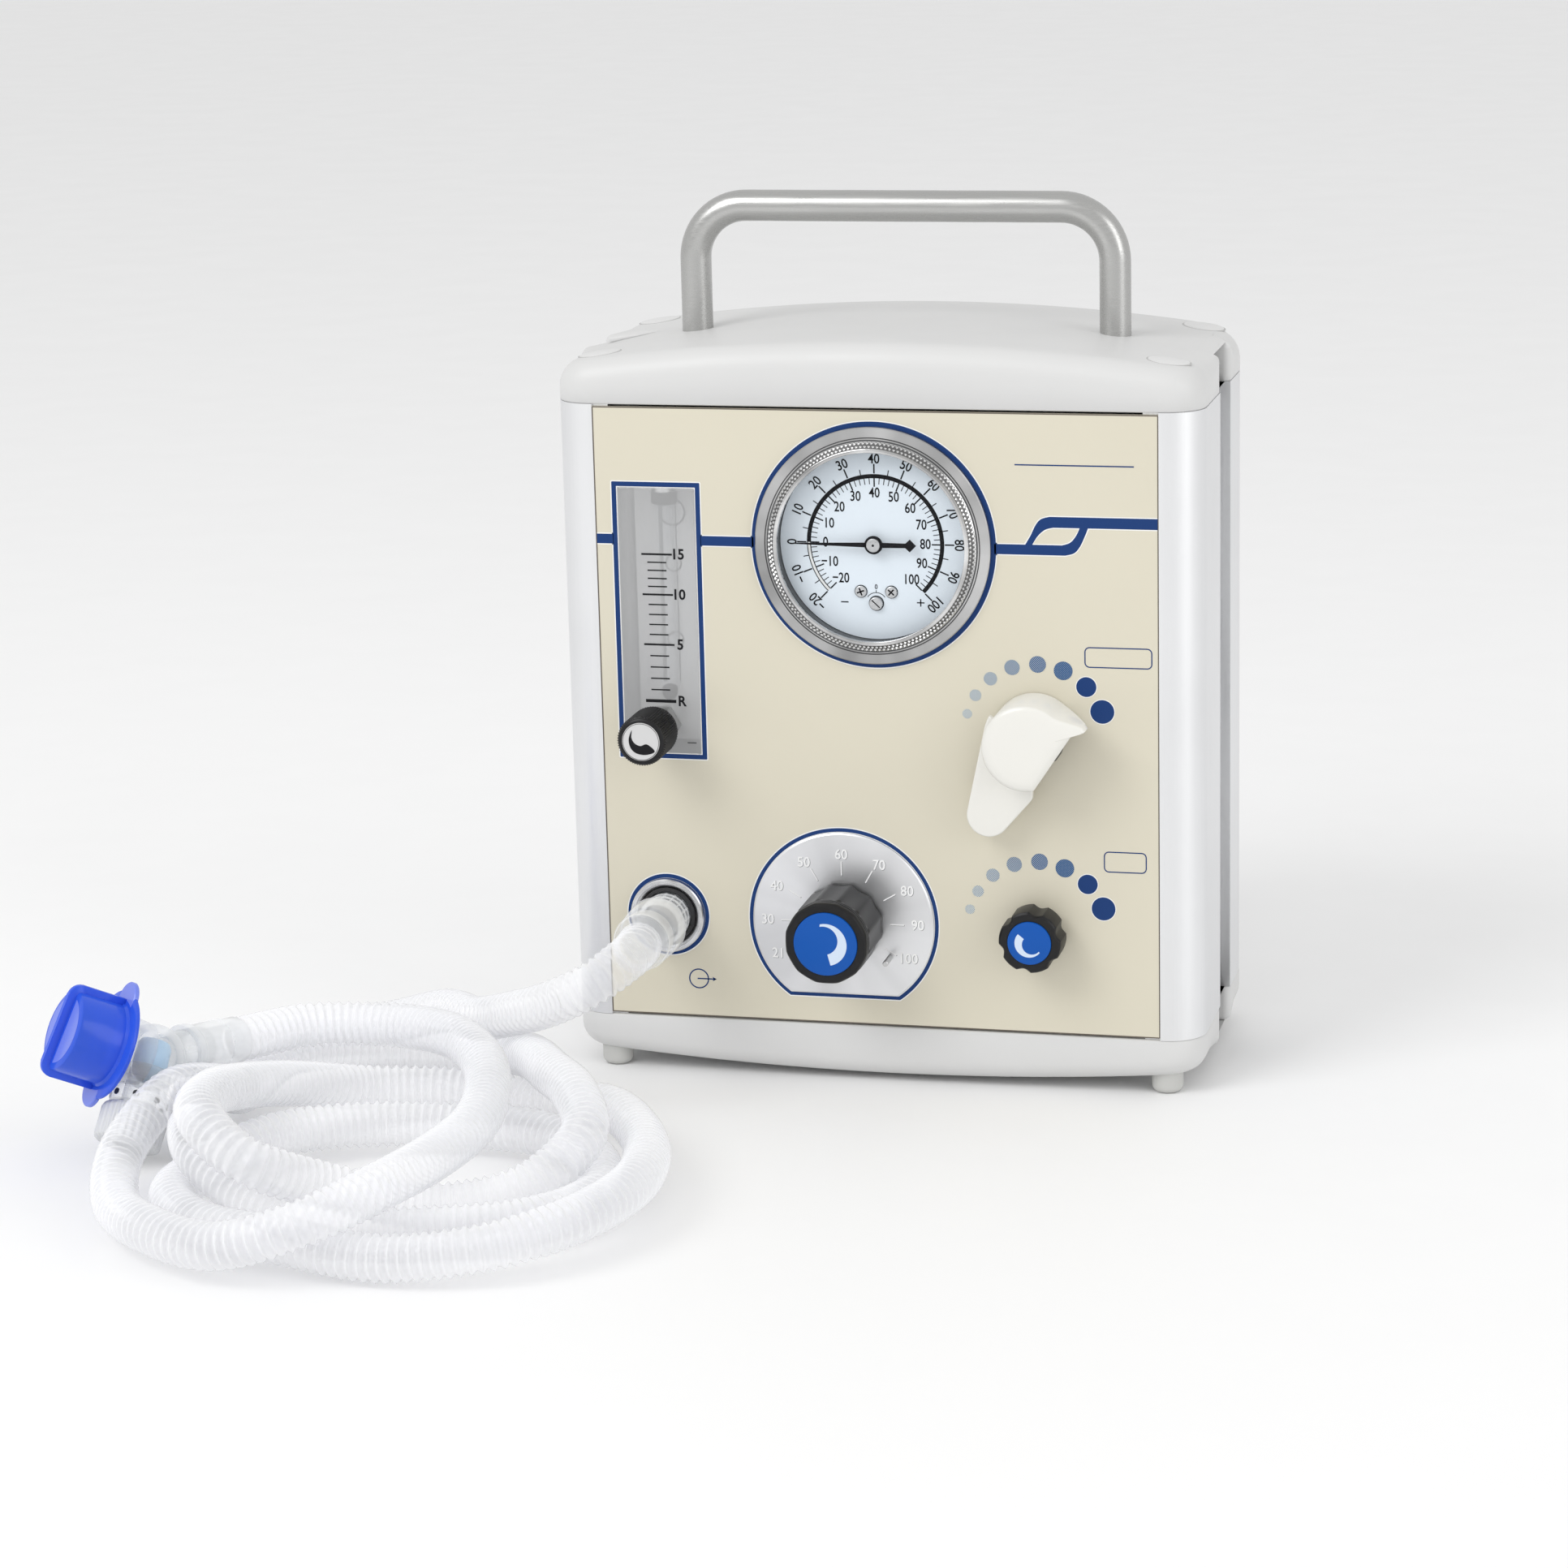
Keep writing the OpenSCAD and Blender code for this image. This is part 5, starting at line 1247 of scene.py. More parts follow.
def makeFlowMeter(s):
    low, high = boxOf("flow_block")
    axisY = middleOf("flow_float").y
    bm = bmesh.new()
    corner = s["edge"]
    outline = []
    for cx, cz, a in ((high.x - corner, high.z - corner, 0), (low.x + corner, high.z - corner, 90),
                      (low.x + corner, low.z + corner, 180), (high.x - corner, low.z + corner, 270)):
        outline += arc((cx, cz), corner, a, a + 90, 5)
    addSoftPlate(bm, outline, low.y, high.y, s["softEdge"])
    block = finishMesh("flowBlock", bm, acrylic, "root")
    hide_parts("flow_block")
    # painted light: a pale sheet at the back of the clear block, standing in for light seen through it
    bm = bmesh.new()
    inset = s["lightSheetInset"]
    backLoop = boxLoop(low.x + inset, low.z + inset, high.x - inset, high.z - inset)
    addPlate(bm, [backLoop], high.y - 0.25, high.y - 0.05)
    paintedLightSheet = finishMesh("flowBlockPaintedLight", bm, blockBackPaintedLight, "root")
    # the bore, with painted shade strips behind it for its dark edge seen through the block
    boreLow, boreHigh = s["boreFoot"], boxOf("flow_tube_plug")[0].z
    stripFront, stripBack = axisY + s["bore"] + 0.15, axisY + s["bore"] + 0.3
    place, up = (flow.x, axisY, 0), (0, 0, 1)
    profile = [(s["bore"], boreLow), (s["bore"], boreHigh)]
    bore = lathe("flowBore", profile, place, boreClear, "root", axis=up, steps=48)
    bm = bmesh.new()
    left, right = s["boreShade"]
    addPlate(bm, [boxLoop(flow.x + left, boreLow, flow.x + right, boreHigh)], stripFront, stripBack)
    shade = finishMesh("boreShade", bm, paintedBoreShade, "root")
    # painted shade: a thin dark line behind the bore's right edge, then rings on the block's back
    bm = bmesh.new()
    left, right = s["boreLine"]
    addPlate(bm, [boxLoop(flow.x + left, boreLow, flow.x + right, boreHigh)], stripFront, stripBack)
    for z in s["rearRings"]:
        addRing(bm, (flow.x, z), s["rearRing"], s["rearRing"] - 0.5, high.y - 0.4, 48)
    topRing = (flow.x, middleOf("flow_tube_plug").z - s["topRingDrop"])
    addRing(bm, topRing, *s["topRing"], high.y - 0.4, 48)
    lines = finishMesh("flowRearRingsAndBoreShadeLine", bm, boreLine, "root")
    # plug over the tube: a bright cap on a ribbed black ring
    plugLow, plugHigh = boxOf("flow_tube_plug")
    r, foot, top = (plugHigh.x - plugLow.x) / 2, plugLow.z, plugHigh.z
    seam = top - 3.0
    bm = bmesh.new()
    rings = [(0, foot, 0), (r - 0.5, foot, 0), (r, foot + 0.4, 1), (r, top - 3.4, 1), (r - 0.4, seam, 0),
             (0, seam, 0)]
    addGrip(bm, rings, place, dents(24, 0.35, 13), axis=up)
    plug = finishMesh("flowTubePlug", bm, knobBlack, "root")
    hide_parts("flow_tube_plug")
    profile = [(0, seam), (r - 0.3, seam), (r - 0.1, top - 2.7), (r - 0.3, top - 0.5), (r - 0.9, top),
               (0, top)]
    cap = lathe("flowTubeCap", profile, place, zincSteel, "root", axis=up, steps=64)
    floatLow, floatHigh = boxOf("flow_float")
    r, foot, top = (floatHigh.x - floatLow.x) / 2, floatLow.z, floatHigh.z
    profile = [(0, foot), (r * 0.5, foot), (r * 0.85, foot + 1.0), (r, foot + 2.0), (r, top - 1.2),
               (r * 0.8, top - 0.3), (r * 0.45, top), (0, top)]
    ball = lathe("flowFloat", profile, place, knobBlack, "flow_float", axis=up, steps=48)
    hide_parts("flow_float")
    makeFlowMarks(s, low.y)


def makeFlowMarks(s, y):
    bm = bmesh.new()
    x = flow.x
    heights = sorted(s["scale"].values())
    for value, z in s["scale"].items():
        addBar(bm, x - s["longTick"], z, x + s["longTick"], z, 0.6 if value else 1.0, y)
        mark = str(value) if value else "R"
        addText(bm, mark, s["digit"], x + s["numberX"], z, y, width=0.95, bold=0.025)
    for low, high in zip(heights, heights[1:]):
        for i in range(s["between"]):
            z = low + (high - low) * (i + 1) / (s["between"] + 1)
            addBar(bm, x - s["shortTick"], z, x + s["shortTick"], z, 0.42, y)
    ruleFrom, ruleTo, ruleHeight = s["rule"]
    addBar(bm, x + ruleFrom, ruleHeight, x + ruleTo, ruleHeight, 0.25, y)
    marks = finishMesh("flowMarks", bm, blackInkAndShade, "root")


def makeFlowKnob(s):
    low, high = boxOf("flow_knob")
    discFront = boxOf("flow_knob_disc")[0].y
    place = (flow.x, 0, flow.z)
    r = (high.x - low.x) / 2
    root, discRadius, seat = r - 0.45, s["knobDisc"], low.y + 0.15
    profile = [(0, high.y), (root - 0.6, high.y), (root, high.y - 0.5), (root, low.y + 1.0),
               (root - 0.1, low.y + 0.5), (root - 0.5, low.y + 0.12), (discRadius + 0.15, low.y),
               (discRadius + 0.02, seat), (0, seat)]
    knob = lathe("flowKnob", profile, place, knobBlack, "flow_control")
    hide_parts("flow_knob")
    half = math.pi * root / s["knobTeeth"] * 0.9
    bm = bmesh.new()
    ends = []
    for y, lean in ((low.y + 0.75, 0.35), (high.y - 1.4, -0.35)):
        ends.append(addVerts(bm, [(root - 0.05, y, half), (r, y + lean, 0), (root - 0.05, y, -half)]))
    addTube(bm, ends)
    teeth = repeatPiece("flowKnobTeeth", bm, knobBlack, "flow_control", s["knobTeeth"], place,
                        angleStep=360 / s["knobTeeth"], sharp=30)
    profile = [(0, discFront), (discRadius - 0.25, discFront), (discRadius, discFront + 0.2),
               (discRadius, seat), (0, seat)]
    disc = lathe("flowKnobDisc", profile, place, discWhite, "flow_control")
    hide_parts("flow_knob_disc")
    bm = bmesh.new()
    outline = smoothLoop(s["crescent"])
    addPlate(bm, [[(flow.x + px, flow.z + pz) for px, pz in outline]], discFront - inkThickness, discFront)
    addRing(bm, (flow.x, flow.z), discRadius - 0.3, discRadius - 0.42, discFront, 64)
    mark = finishMesh("flowKnobMark", bm, blackInkAndShade, "flow_control")


makeFlowMeter(flowSettings)
makeFlowKnob(flowSettings)
print("flow meter made")


# the scale plate and the three large knobs

scaleSettings = {
    "radius": 29.6, "hole": 8.0, "rim": 0.5,
    "ticks": (15.6, 20.2), "tickWidth": 0.38, "numbers": (24.6, 22.4), "digit": 3.2,
    "marks": {21: 210, 30: 180, 40: 150, 50: 120, 60: 90, 70: 60, 80: 30, 90: 0, 100: -30},
}


def makeScalePlate(s):
    low, high = boxOf("scale_plate")
    at = (fio2.x, fio2.z)
    drop, rim = low.z - fio2.z, s["rim"]

    def outline(inward):
        a = math.degrees(math.asin((drop + inward) / (s["radius"] - inward)))
        return arc(at, s["radius"] - inward, a, 180 - a, 160)
    hole = circleLoop(*at, s["hole"], 64)
    bm = bmesh.new()
    front, shoulder, back = (addVerts(bm, [(x, y, z) for x, z in outline(inward)])
                             for y, inward in ((low.y, rim), (low.y + rim * 0.7, 0), (high.y, 0)))
    inner, innerBack = (addVerts(bm, [(x, y, z) for x, z in hole]) for y in (low.y, high.y))
    fillRings(bm, [front, inner])
    fillRings(bm, [back, innerBack])
    for pair in ((front, shoulder), (shoulder, back), (inner, innerBack)):
        bridge(bm, *pair)
    scale = finishMesh("scalePlate", bm, scaleAluminium, "root", sharp=25)
    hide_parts("scale_plate")
    # engraved marks: a dark copy in painted shade, with a painted highlight copy beside it
    wide, tall = s["numbers"]
    for name, markLayer, shift, y in (("scaleMarks", engravedShade, 0, low.y),
                                ("scaleGlints", engravedHighlight, 0.16, low.y - 0.01)):
        bm = bmesh.new()
        for value, angle in s["marks"].items():
            middle = (at[0] - shift, at[1] + shift * 0.8)
            addTick(bm, middle, *s["ticks"], angle, s["tickWidth"], y)
            a = math.radians(angle)
            x, z = middle[0] + wide * math.cos(a), middle[1] + tall * math.sin(a)
            addText(bm, str(value), s["digit"], x, z, y, width=0.92)
        marks = finishMesh(name, bm, markLayer, "root")
    pinLow, pinHigh = boxOf("stop_pin")
    pin = middleOf("stop_pin")
    r = (pinHigh.x - pinLow.x) / 2
    profile = [(0, pinLow.y), (r - 0.2, pinLow.y), (r, pinLow.y + 0.2), (r, pinHigh.y), (0, pinHigh.y)]
    stop = lathe("stopPin", profile, (pin.x, 0, pin.z), zincSteel, "root", steps=40)
    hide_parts("stop_pin")


valveKnob = {
    "dents": (6, 1.1, 27, 18), "crescent": (0.66, -144), "disc": 6.95,
    # radius, height and share of the dents
    "rings": ((0.0, 0.0, 0), (9.2, 0.0, 1), (10.0, 0.7, 1), (10.0, 9.6, 1), (9.8, 10.3, 1),
              (9.3, 10.7, 0.9)),
}
knobSettings = {
    "fio2": {"body": "fio2_control", "dents": (12, 0.75, 27, 0), "crescent": (1.0, 0), "disc": 10.25,
             "rings": ((0.0, 0.0, 0), (12.6, 0.0, 0.5), (13.5, 0.7, 1), (13.5, 17.4, 1), (13.4, 18.2, 0.7),
                       (13.25, 18.5, 0), (13.25, 19.3, 0), (13.05, 19.45, 0), (13.05, 19.75, 0),
                       (13.3, 19.9, 0), (13.3, 20.5, 0), (13.1, 20.65, 0), (13.1, 20.95, 0),
                       (13.35, 21.1, 0.2), (13.35, 22.2, 0.25), (13.15, 22.85, 0.25), (12.75, 23.2, 0.2))},
    "maxp": {"body": "maxp_control", **valveKnob},
    "pip": {"body": "pip_control", **valveKnob},
    "outerArc": ((0.1, -0.1), 6.85, 104, -77),  # middle, radius, from and to degrees
    "innerArc": ((-0.6, 1.25), 4.65, -74, 103),
}


def crescentLoop(s, at, scale, turn):
    centre, radius, start, end = s["outerArc"]
    points = arc(centre, radius, start, end, 40)
    centre, radius, start, end = s["innerArc"]
    points += arc(centre, radius, start, end, 30)
    c, sn = math.cos(math.radians(turn)), math.sin(math.radians(turn))
    return [(at.x + scale * (c * px - sn * pz), at.z + scale * (sn * px + c * pz)) for px, pz in points]


def makeKnob(s, name, at):
    k = s[name]
    low, high = boxOf(name + "_knob")
    discFront = boxOf(name + "_knob_disc")[0].y
    place = (at.x, 0, at.z)
    discRadius, seat = k["disc"], low.y + 0.2
    rings = [(radius, high.y - rise, share) for radius, rise, share in k["rings"]]
    rings += [(discRadius + 0.15, low.y, 0), (discRadius + 0.02, seat, 0), (0, seat, 0)]
    bm = bmesh.new()
    addGrip(bm, rings, place, dents(*k["dents"]), steps=240)
    knob = finishMesh(name + "Knob", bm, knobBlack, k["body"])
    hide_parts(name + "_knob")
    profile = [(0, discFront), (discRadius - 0.35, discFront), (discRadius - 0.1, discFront + 0.1),
               (discRadius, discFront + 0.3), (discRadius, seat), (0, seat)]
    disc = lathe(name + "Disc", profile, place, discBlue, k["body"])
    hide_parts(name + "_knob_disc")
    crescent = crescentLoop(s, at, *k["crescent"])
    mark = plate(name + "Crescent", [crescent], discFront - inkThickness, discFront, discPale, k["body"])


makeScalePlate(scaleSettings)
makeKnob(knobSettings, "fio2", fio2)
makeKnob(knobSettings, "maxp", maxp)
makeKnob(knobSettings, "pip", pip)
print("knobs made")


# the swinging cover over the upper pressure knob

coverSettings = {
    "outer": 13.6, "inner": 12.2, "face": 1.6,
    "open": (-98, 17),                   # the side left open, in degrees
    "tabAngle": 18, "tabReach": 7.4, "tabSpread": (10, 36),
    "boss": 6.9, "tongue": (-59.5, -57.5), "softEdge": 0.6,
    "tongueSide": -41,                   # direction in which the tongue's right side faces
    "gapToCup": 0.2, "cupEnd": -121,     # where the tongue stops against the cup, in degrees
    "shoulder": 15.2,                    # radius the tongue's left edge is tangent to
    "sweep": 17.6,                       # radius about the pivot that the knob passes outside of
    "cut": (-33.8, 9.65),                # direction and distance of the straight edge of the face
    "corner": (-2.3, -17.8, 2.6),        # the tongue's corner, from the knob's axis, and its radius
}


def tabRise(s, angle):
    # the beak stands out round its own angle: steep below, a long hollow flank above, a rounded tip
    below, above = s["tabSpread"]
    off = abs((angle - s["tabAngle"]) / (above if angle > s["tabAngle"] else below))
    if off >= 1:
        return 0.0
    return min(0.86 - 0.6 * off, (1 - math.sin(off * math.pi / 2)) ** 1.15)


def makeCover(s):
    low, high = boxOf("maxp_cover")
    pivot = middleOf("cover_pin")
    front, back = low.y, high.y
    inside = front + s["face"]
    opens, closes = s["open"]
    # angles of the outline: close to each edge of the opening, an even coarse set, a fine set at the beak
    angles = [opens - 0.2, opens + 0.2, closes - 0.2, closes + 0.2]
    angles += [a for a in range(-180, 180, 3) if min(abs(a - opens), abs(a - closes)) > 0.6]
    fine = [s["tabAngle"] + a * 0.6 for a in range(-20, 64)]
    angles += [a for a in fine if abs(a - closes) > 0.5]
    wall = s["inner"]
    columns = []
    for angle in sorted(set(angles)):
        opened = opens < angle < closes
        rise = tabRise(s, angle) * s["tabReach"]
        edge = s["outer"] + rise
        slant = math.cos(math.radians(angle - s["cut"][0]))
        if opened and slant > 0.1:
            edge = min(edge, max(s["cut"][1] / slant, s["cut"][1]))
        profile = [(0, front), (6.0, front), (min(10.2, edge - 2), front + 0.05), (edge - 1.3, front + 0.3),
                   (edge - 0.35, front + 0.85), (edge, front + 1.35)]
        if opened:
            profile += [(edge, inside), (edge - 0.3, inside), (edge - 0.6, inside + 0.01), (0, inside)]
        else:
            end = back - (back - inside) * min(rise / s["tabReach"] * 0.9, 0.75)
            profile += [(edge, end), (wall, end), (wall, inside + 0.01), (0, inside)]
        cos, sin = math.cos(math.radians(angle)), math.sin(math.radians(angle))
        columns.append([Vector((maxp.x + r * cos, y, maxp.z + r * sin)) for r, y in profile])
    bm = bmesh.new()
    rows = list(zip(*columns))
    rows = [rows[0][:1], *rows[1:-1], rows[-1][:1]]  # the first and last rows are single points
    joinRings(bm, [addVerts(bm, row) for row in rows])
    cup = finishMesh("knobCover", bm, ivory, "maxp_cover", sharp=40)
    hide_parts("maxp_cover")
    # tongue between the cup and its pivot: straight sides, a rounded corner, clear of the knob's path
    at, foot = (maxp.x, maxp.z), (pivot.x, pivot.z)
    arm = Vector((at[0] - foot[0], at[1] - foot[1]))
    along = math.degrees(math.atan2(arm.y, arm.x))
    left = along + 90 + math.degrees(math.asin((s["shoulder"] - s["boss"]) / arm.length))
    cornerX, cornerZ, corner = s["corner"]
    right, clear = s["tongueSide"], s["inner"] + s["gapToCup"]
    stop = math.degrees(math.atan2(at[1] + cornerZ + 3.8 - foot[1], at[0] + cornerX + corner - foot[0]))
    outline = arc(at, s["shoulder"], left - 18, left, 5)
    outline += arc(foot, s["boss"], left, right + 360, 30)
    outline += arc((at[0] + cornerX, at[1] + cornerZ), corner, right, 0, 6)
    outline += arc(foot, s["sweep"], stop, along, 6)
    outline += arc(at, clear, s["cupEnd"], left - 18 - 360, 22)
    y0, y1 = s["tongue"]
    bm = bmesh.new()
    addSoftPlate(bm, outline, y0, y1, s["softEdge"])
    tongue = finishMesh("coverTongue", bm, ivory, "maxp_cover", sharp=40)
    profile = [(0, y1 - 0.2), (s["boss"] - 0.05, y1 - 0.2), (s["boss"] - 0.05, back + 0.3),
               (s["boss"] - 0.4, back), (0, back)]
    boss = lathe("coverBoss", profile, (pivot.x, 0, pivot.z), ivory, "maxp_cover")


makeCover(coverSettings)
print("cover made")


# the gas outlet and the clear connector in it

outletSettings = {
    "bezel": 12.15, "step": 10.6, "bezelHole": 9.25, "seal": (9.2, 7.85),
    "core": 6.9, "rib": 7.75, "ribPitch": 3.1, "axialRibs": 16,
    "cuff": 9.75, "cuffBack": -64.7, "sleeve": 8.6, "bore": 5.5,
}


def makeOutlet(s):
    place = (outlet.x, 0, outlet.z)
    low, high = boxOf("outlet_bezel")
    profile = [(s["bezelHole"], high.y), (s["bezel"], high.y), (s["bezel"], low.y + 0.4),
               (s["bezel"] - 0.35, low.y), (s["step"] + 0.1, low.y), (s["step"], low.y + 0.2),
               (s["step"] - 0.15, low.y + 0.25), (s["bezelHole"] + 0.2, low.y + 1.3),
               (s["bezelHole"], low.y + 1.6)]
    bezel = lathe("outletBezel", profile, place, outletChrome, "root", closedProfile=True)
    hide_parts("outlet_bezel")
    sealLow, sealHigh = boxOf("outlet_seal")
    outer, inner = s["seal"]
    profile = [(inner, sealHigh.y), (outer, sealHigh.y), (outer, sealLow.y + 0.5),
               (outer - 0.4, sealLow.y + 0.1), (inner + 0.35, sealLow.y), (inner, sealLow.y + 0.4)]
    seal = lathe("outletSeal", profile, place, sealRubber, "root", closedProfile=True)
    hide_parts("outlet_seal")
    low, high = boxOf("hose_connector")
    core, rib, cuff, sleeve, bore = (s[k] for k in ("core", "rib", "cuff", "sleeve", "bore"))
    cuffBack, cuffFront = s["cuffBack"], low.y
    profile = [(bore, high.y), (core, high.y), (core, high.y - 4.2)]
    y = outletFace = sealLow.y - 0.6
    profile += [(core, y + 1.2)]
    while y > cuffBack + 2.2:
        profile += [(core, y), (rib - 0.2, y - 0.15), (rib, y - 0.45), (rib, y - 0.8), (rib - 0.2, y - 1.1),
                    (core, y - 1.25)]
        y -= s["ribPitch"]
    profile += [(core, cuffBack), (cuff - 0.9, cuffBack), (cuff - 0.2, cuffBack - 0.4),
                (cuff, cuffBack - 1.2), (cuff - 0.35, cuffBack - 10.5), (cuff - 0.6, cuffBack - 11.2),
                (sleeve, cuffBack - 11.8), (sleeve, cuffFront + 2.4), (sleeve + 0.5, cuffFront + 2.1),
                (sleeve + 0.6, cuffFront + 1.4), (sleeve + 0.5, cuffFront + 0.5), (sleeve, cuffFront),
                (bore, cuffFront)]
    connector = lathe("hoseConnector", profile, place, connectorClear, "root", closedProfile=True, steps=96)
    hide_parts("hose_connector")
    bm = bmesh.new()
    section = ((core - 0.1, 0.32), (rib - 0.15, 0.22), (rib - 0.15, -0.22), (core - 0.1, -0.32))
    ends = [addVerts(bm, [(x, y, z) for x, z in section]) for y in (cuffBack, outletFace + 1.0)]
    bridge(bm, *ends)
    ribs = repeatPiece("connectorRibs", bm, connectorClear, "root", s["axialRibs"], place,
                       angleStep=360 / s["axialRibs"])
    return connector, ribs


connectorPieces = makeOutlet(outletSettings)


# the two gas inlets at the back

inletSettings = {
    "oxygen_inlet": {"spigot": 7.14, "bore": 2.6},
    "air_inlet": {"spigot": 9.52, "bore": 4.0},
    "hexDepth": 6.0, "hexEdge": (0.9, 0.7), "pitch": 1.3, "threadDepth": 0.55, "neck": 1.6,
}


def makeInlet(s, node):
    # a hexagon against the rear panel and a threaded tail, with painted shade in its bore
    low, high = boxOf(node)
    at = middleOf(node)
    spigot, bore = s[node]["spigot"], s[node]["bore"]
    hexRadius = (high.x - low.x) / 2
    rear = boxOf("rear_panel")[1].y
    hexBack = rear + s["hexDepth"]
    place = (at.x, 0, at.z)
    edgeIn, edgeBack = s["hexEdge"]
    bm = bmesh.new()
    hexagon = [(bore, rear), (hexRadius, rear), (hexRadius, hexBack - edgeBack),
               (hexRadius - edgeIn, hexBack), (bore, hexBack)]
    addLathe(bm, hexagon, place, steps=6, closedProfile=True, start=(1, 0, 0))
    root, pitch = spigot - s["threadDepth"], s["pitch"]
    y = hexBack + s["neck"]
    thread = [(bore, hexBack - 1), (root, hexBack - 1), (root, y)]
    while y < high.y - pitch - 0.6:
        thread += [(spigot - 0.06, y + pitch * 0.4), (spigot - 0.06, y + pitch * 0.6), (root, y + pitch)]
        y += pitch
    thread += [(spigot - 0.1, y + 0.3), (spigot - 0.7, high.y), (bore + 0.8, high.y), (bore, high.y - 0.8)]
    addLathe(bm, thread, place, steps=72, closedProfile=True)
    inlet = finishMesh(node.replace("_inlet", "Inlet"), bm, brass, "root", sharp=30)
    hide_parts(node)
    # painted shade: a dark disc inside the bore
    front, back, wide = hexBack - 2.3, hexBack - 2, bore + 0.02
    profile = [(0, back), (wide, back), (wide, front), (0, front)]
    shade = lathe(node.replace("_inlet", "InletBore"), profile, place, paintedBoreShade, "root", steps=48)


makeInlet(inletSettings, "oxygen_inlet")
makeInlet(inletSettings, "air_inlet")
print("outlet made")


# the tee at the far end, with its cuff, blue cap and grey valve cap

teeSettings = {
    "hub": (-209, -153, 30), "hubRadius": 10.5,
    "hose": (13.5, 36.5, -5), "patient": (-0.677, -0.588, 0.44), "valve": (-0.1, -0.6, -0.79),
    "bore": 5.5, "spigot": 6.6, "ports": 8,
    # profiles as radius and distance from the hub; the valve cap's also say how deep its grip cuts
    "cuff": ((6.7, 14.0), (8.1, 14.0), (8.35, 14.4), (8.35, 16.6), (7.9, 17.2), (7.6, 18.0), (7.6, 30.0),
             (7.9, 30.4), (7.9, 31.6), (7.5, 32.0), (7.5, 38.7), (7.2, 39.2), (5.5, 39.2), (5.5, 23.0),
             (6.7, 22.6)),
    "port": ((7.7, 25.0), (10.8, 25.0), (11.0, 24.6), (11.0, 13.3), (11.9, 13.1), (12.1, 12.6),
             (12.1, 11.2), (11.8, 10.7), (10.6, 10.4), (10.3, 6.5), (9.8, 3.0), (7.7, 3.0)),
    "neck": ((5.5, 27.0), (7.3, 27.0), (7.5, 26.7), (7.5, 16.8), (8.9, 16.4), (9.1, 15.9), (9.1, 13.0),
             (8.8, 12.5), (7.9, 12.2), (7.7, 8.0), (7.4, 4.0), (5.5, 4.0)),
    "valveDisc": ((0, -5.0), (4.6, -5.0), (5.4, -3.5), (5.6, 2.0), (4.6, 6.0), (2.5, 8.0), (0, 8.5)),
    "portHole": ((0.0, 9.16), (1.05, 9.16), (1.05, 8.9), (0.0, 8.9)), "holesAt": 14.5,
    "cap": ((0, 31.0), (7.0, 31.0), (11.6, 31.0), (12.5, 30.6), (12.8, 29.8), (12.95, 16.0),
            (13.6, 15.15), (16.9, 15.0), (17.4, 14.7), (17.5, 14.2), (17.4, 13.8), (17.0, 13.5),
            (11.4, 13.5), (11.4, 25.3), (0, 25.4)),
    "fin": (15.0, 0.9, 33.6),            # half its width, half its thickness, its top
    "finFoot": 15.0, "finCorner": 4,
    "ear": (14.5, 6.0),                  # distance from the axis, and radius
    "moon": (10.6, 12, 168), "moonTop": 31.05, "moonDepth": 0.8,  # radius and angles; place and depth
    "valveCap": ((0, 28.0, 0), (4.2, 28.0, 0), (4.4, 28.9, 0), (9.3, 29.0, 0.3), (10.2, 28.5, 1),
                 (10.5, 27.6, 1), (10.5, 19.0, 1), (10.2, 18.1, 1), (9.6, 17.5, 0.2), (7.6, 17.5, 0),
                 (7.6, 27.0, 0), (0, 27.2, 0)),
}


def localFrame(direction):
    # x and y axes square to a direction, turned down from straight up
    d = Vector(direction).normalized()
    around, down = math.atan2(d.y, d.x), math.acos(d.z)
    x = Vector((math.cos(down) * math.cos(around), math.cos(down) * math.sin(around), -math.sin(down)))
    return x, d.cross(x), d


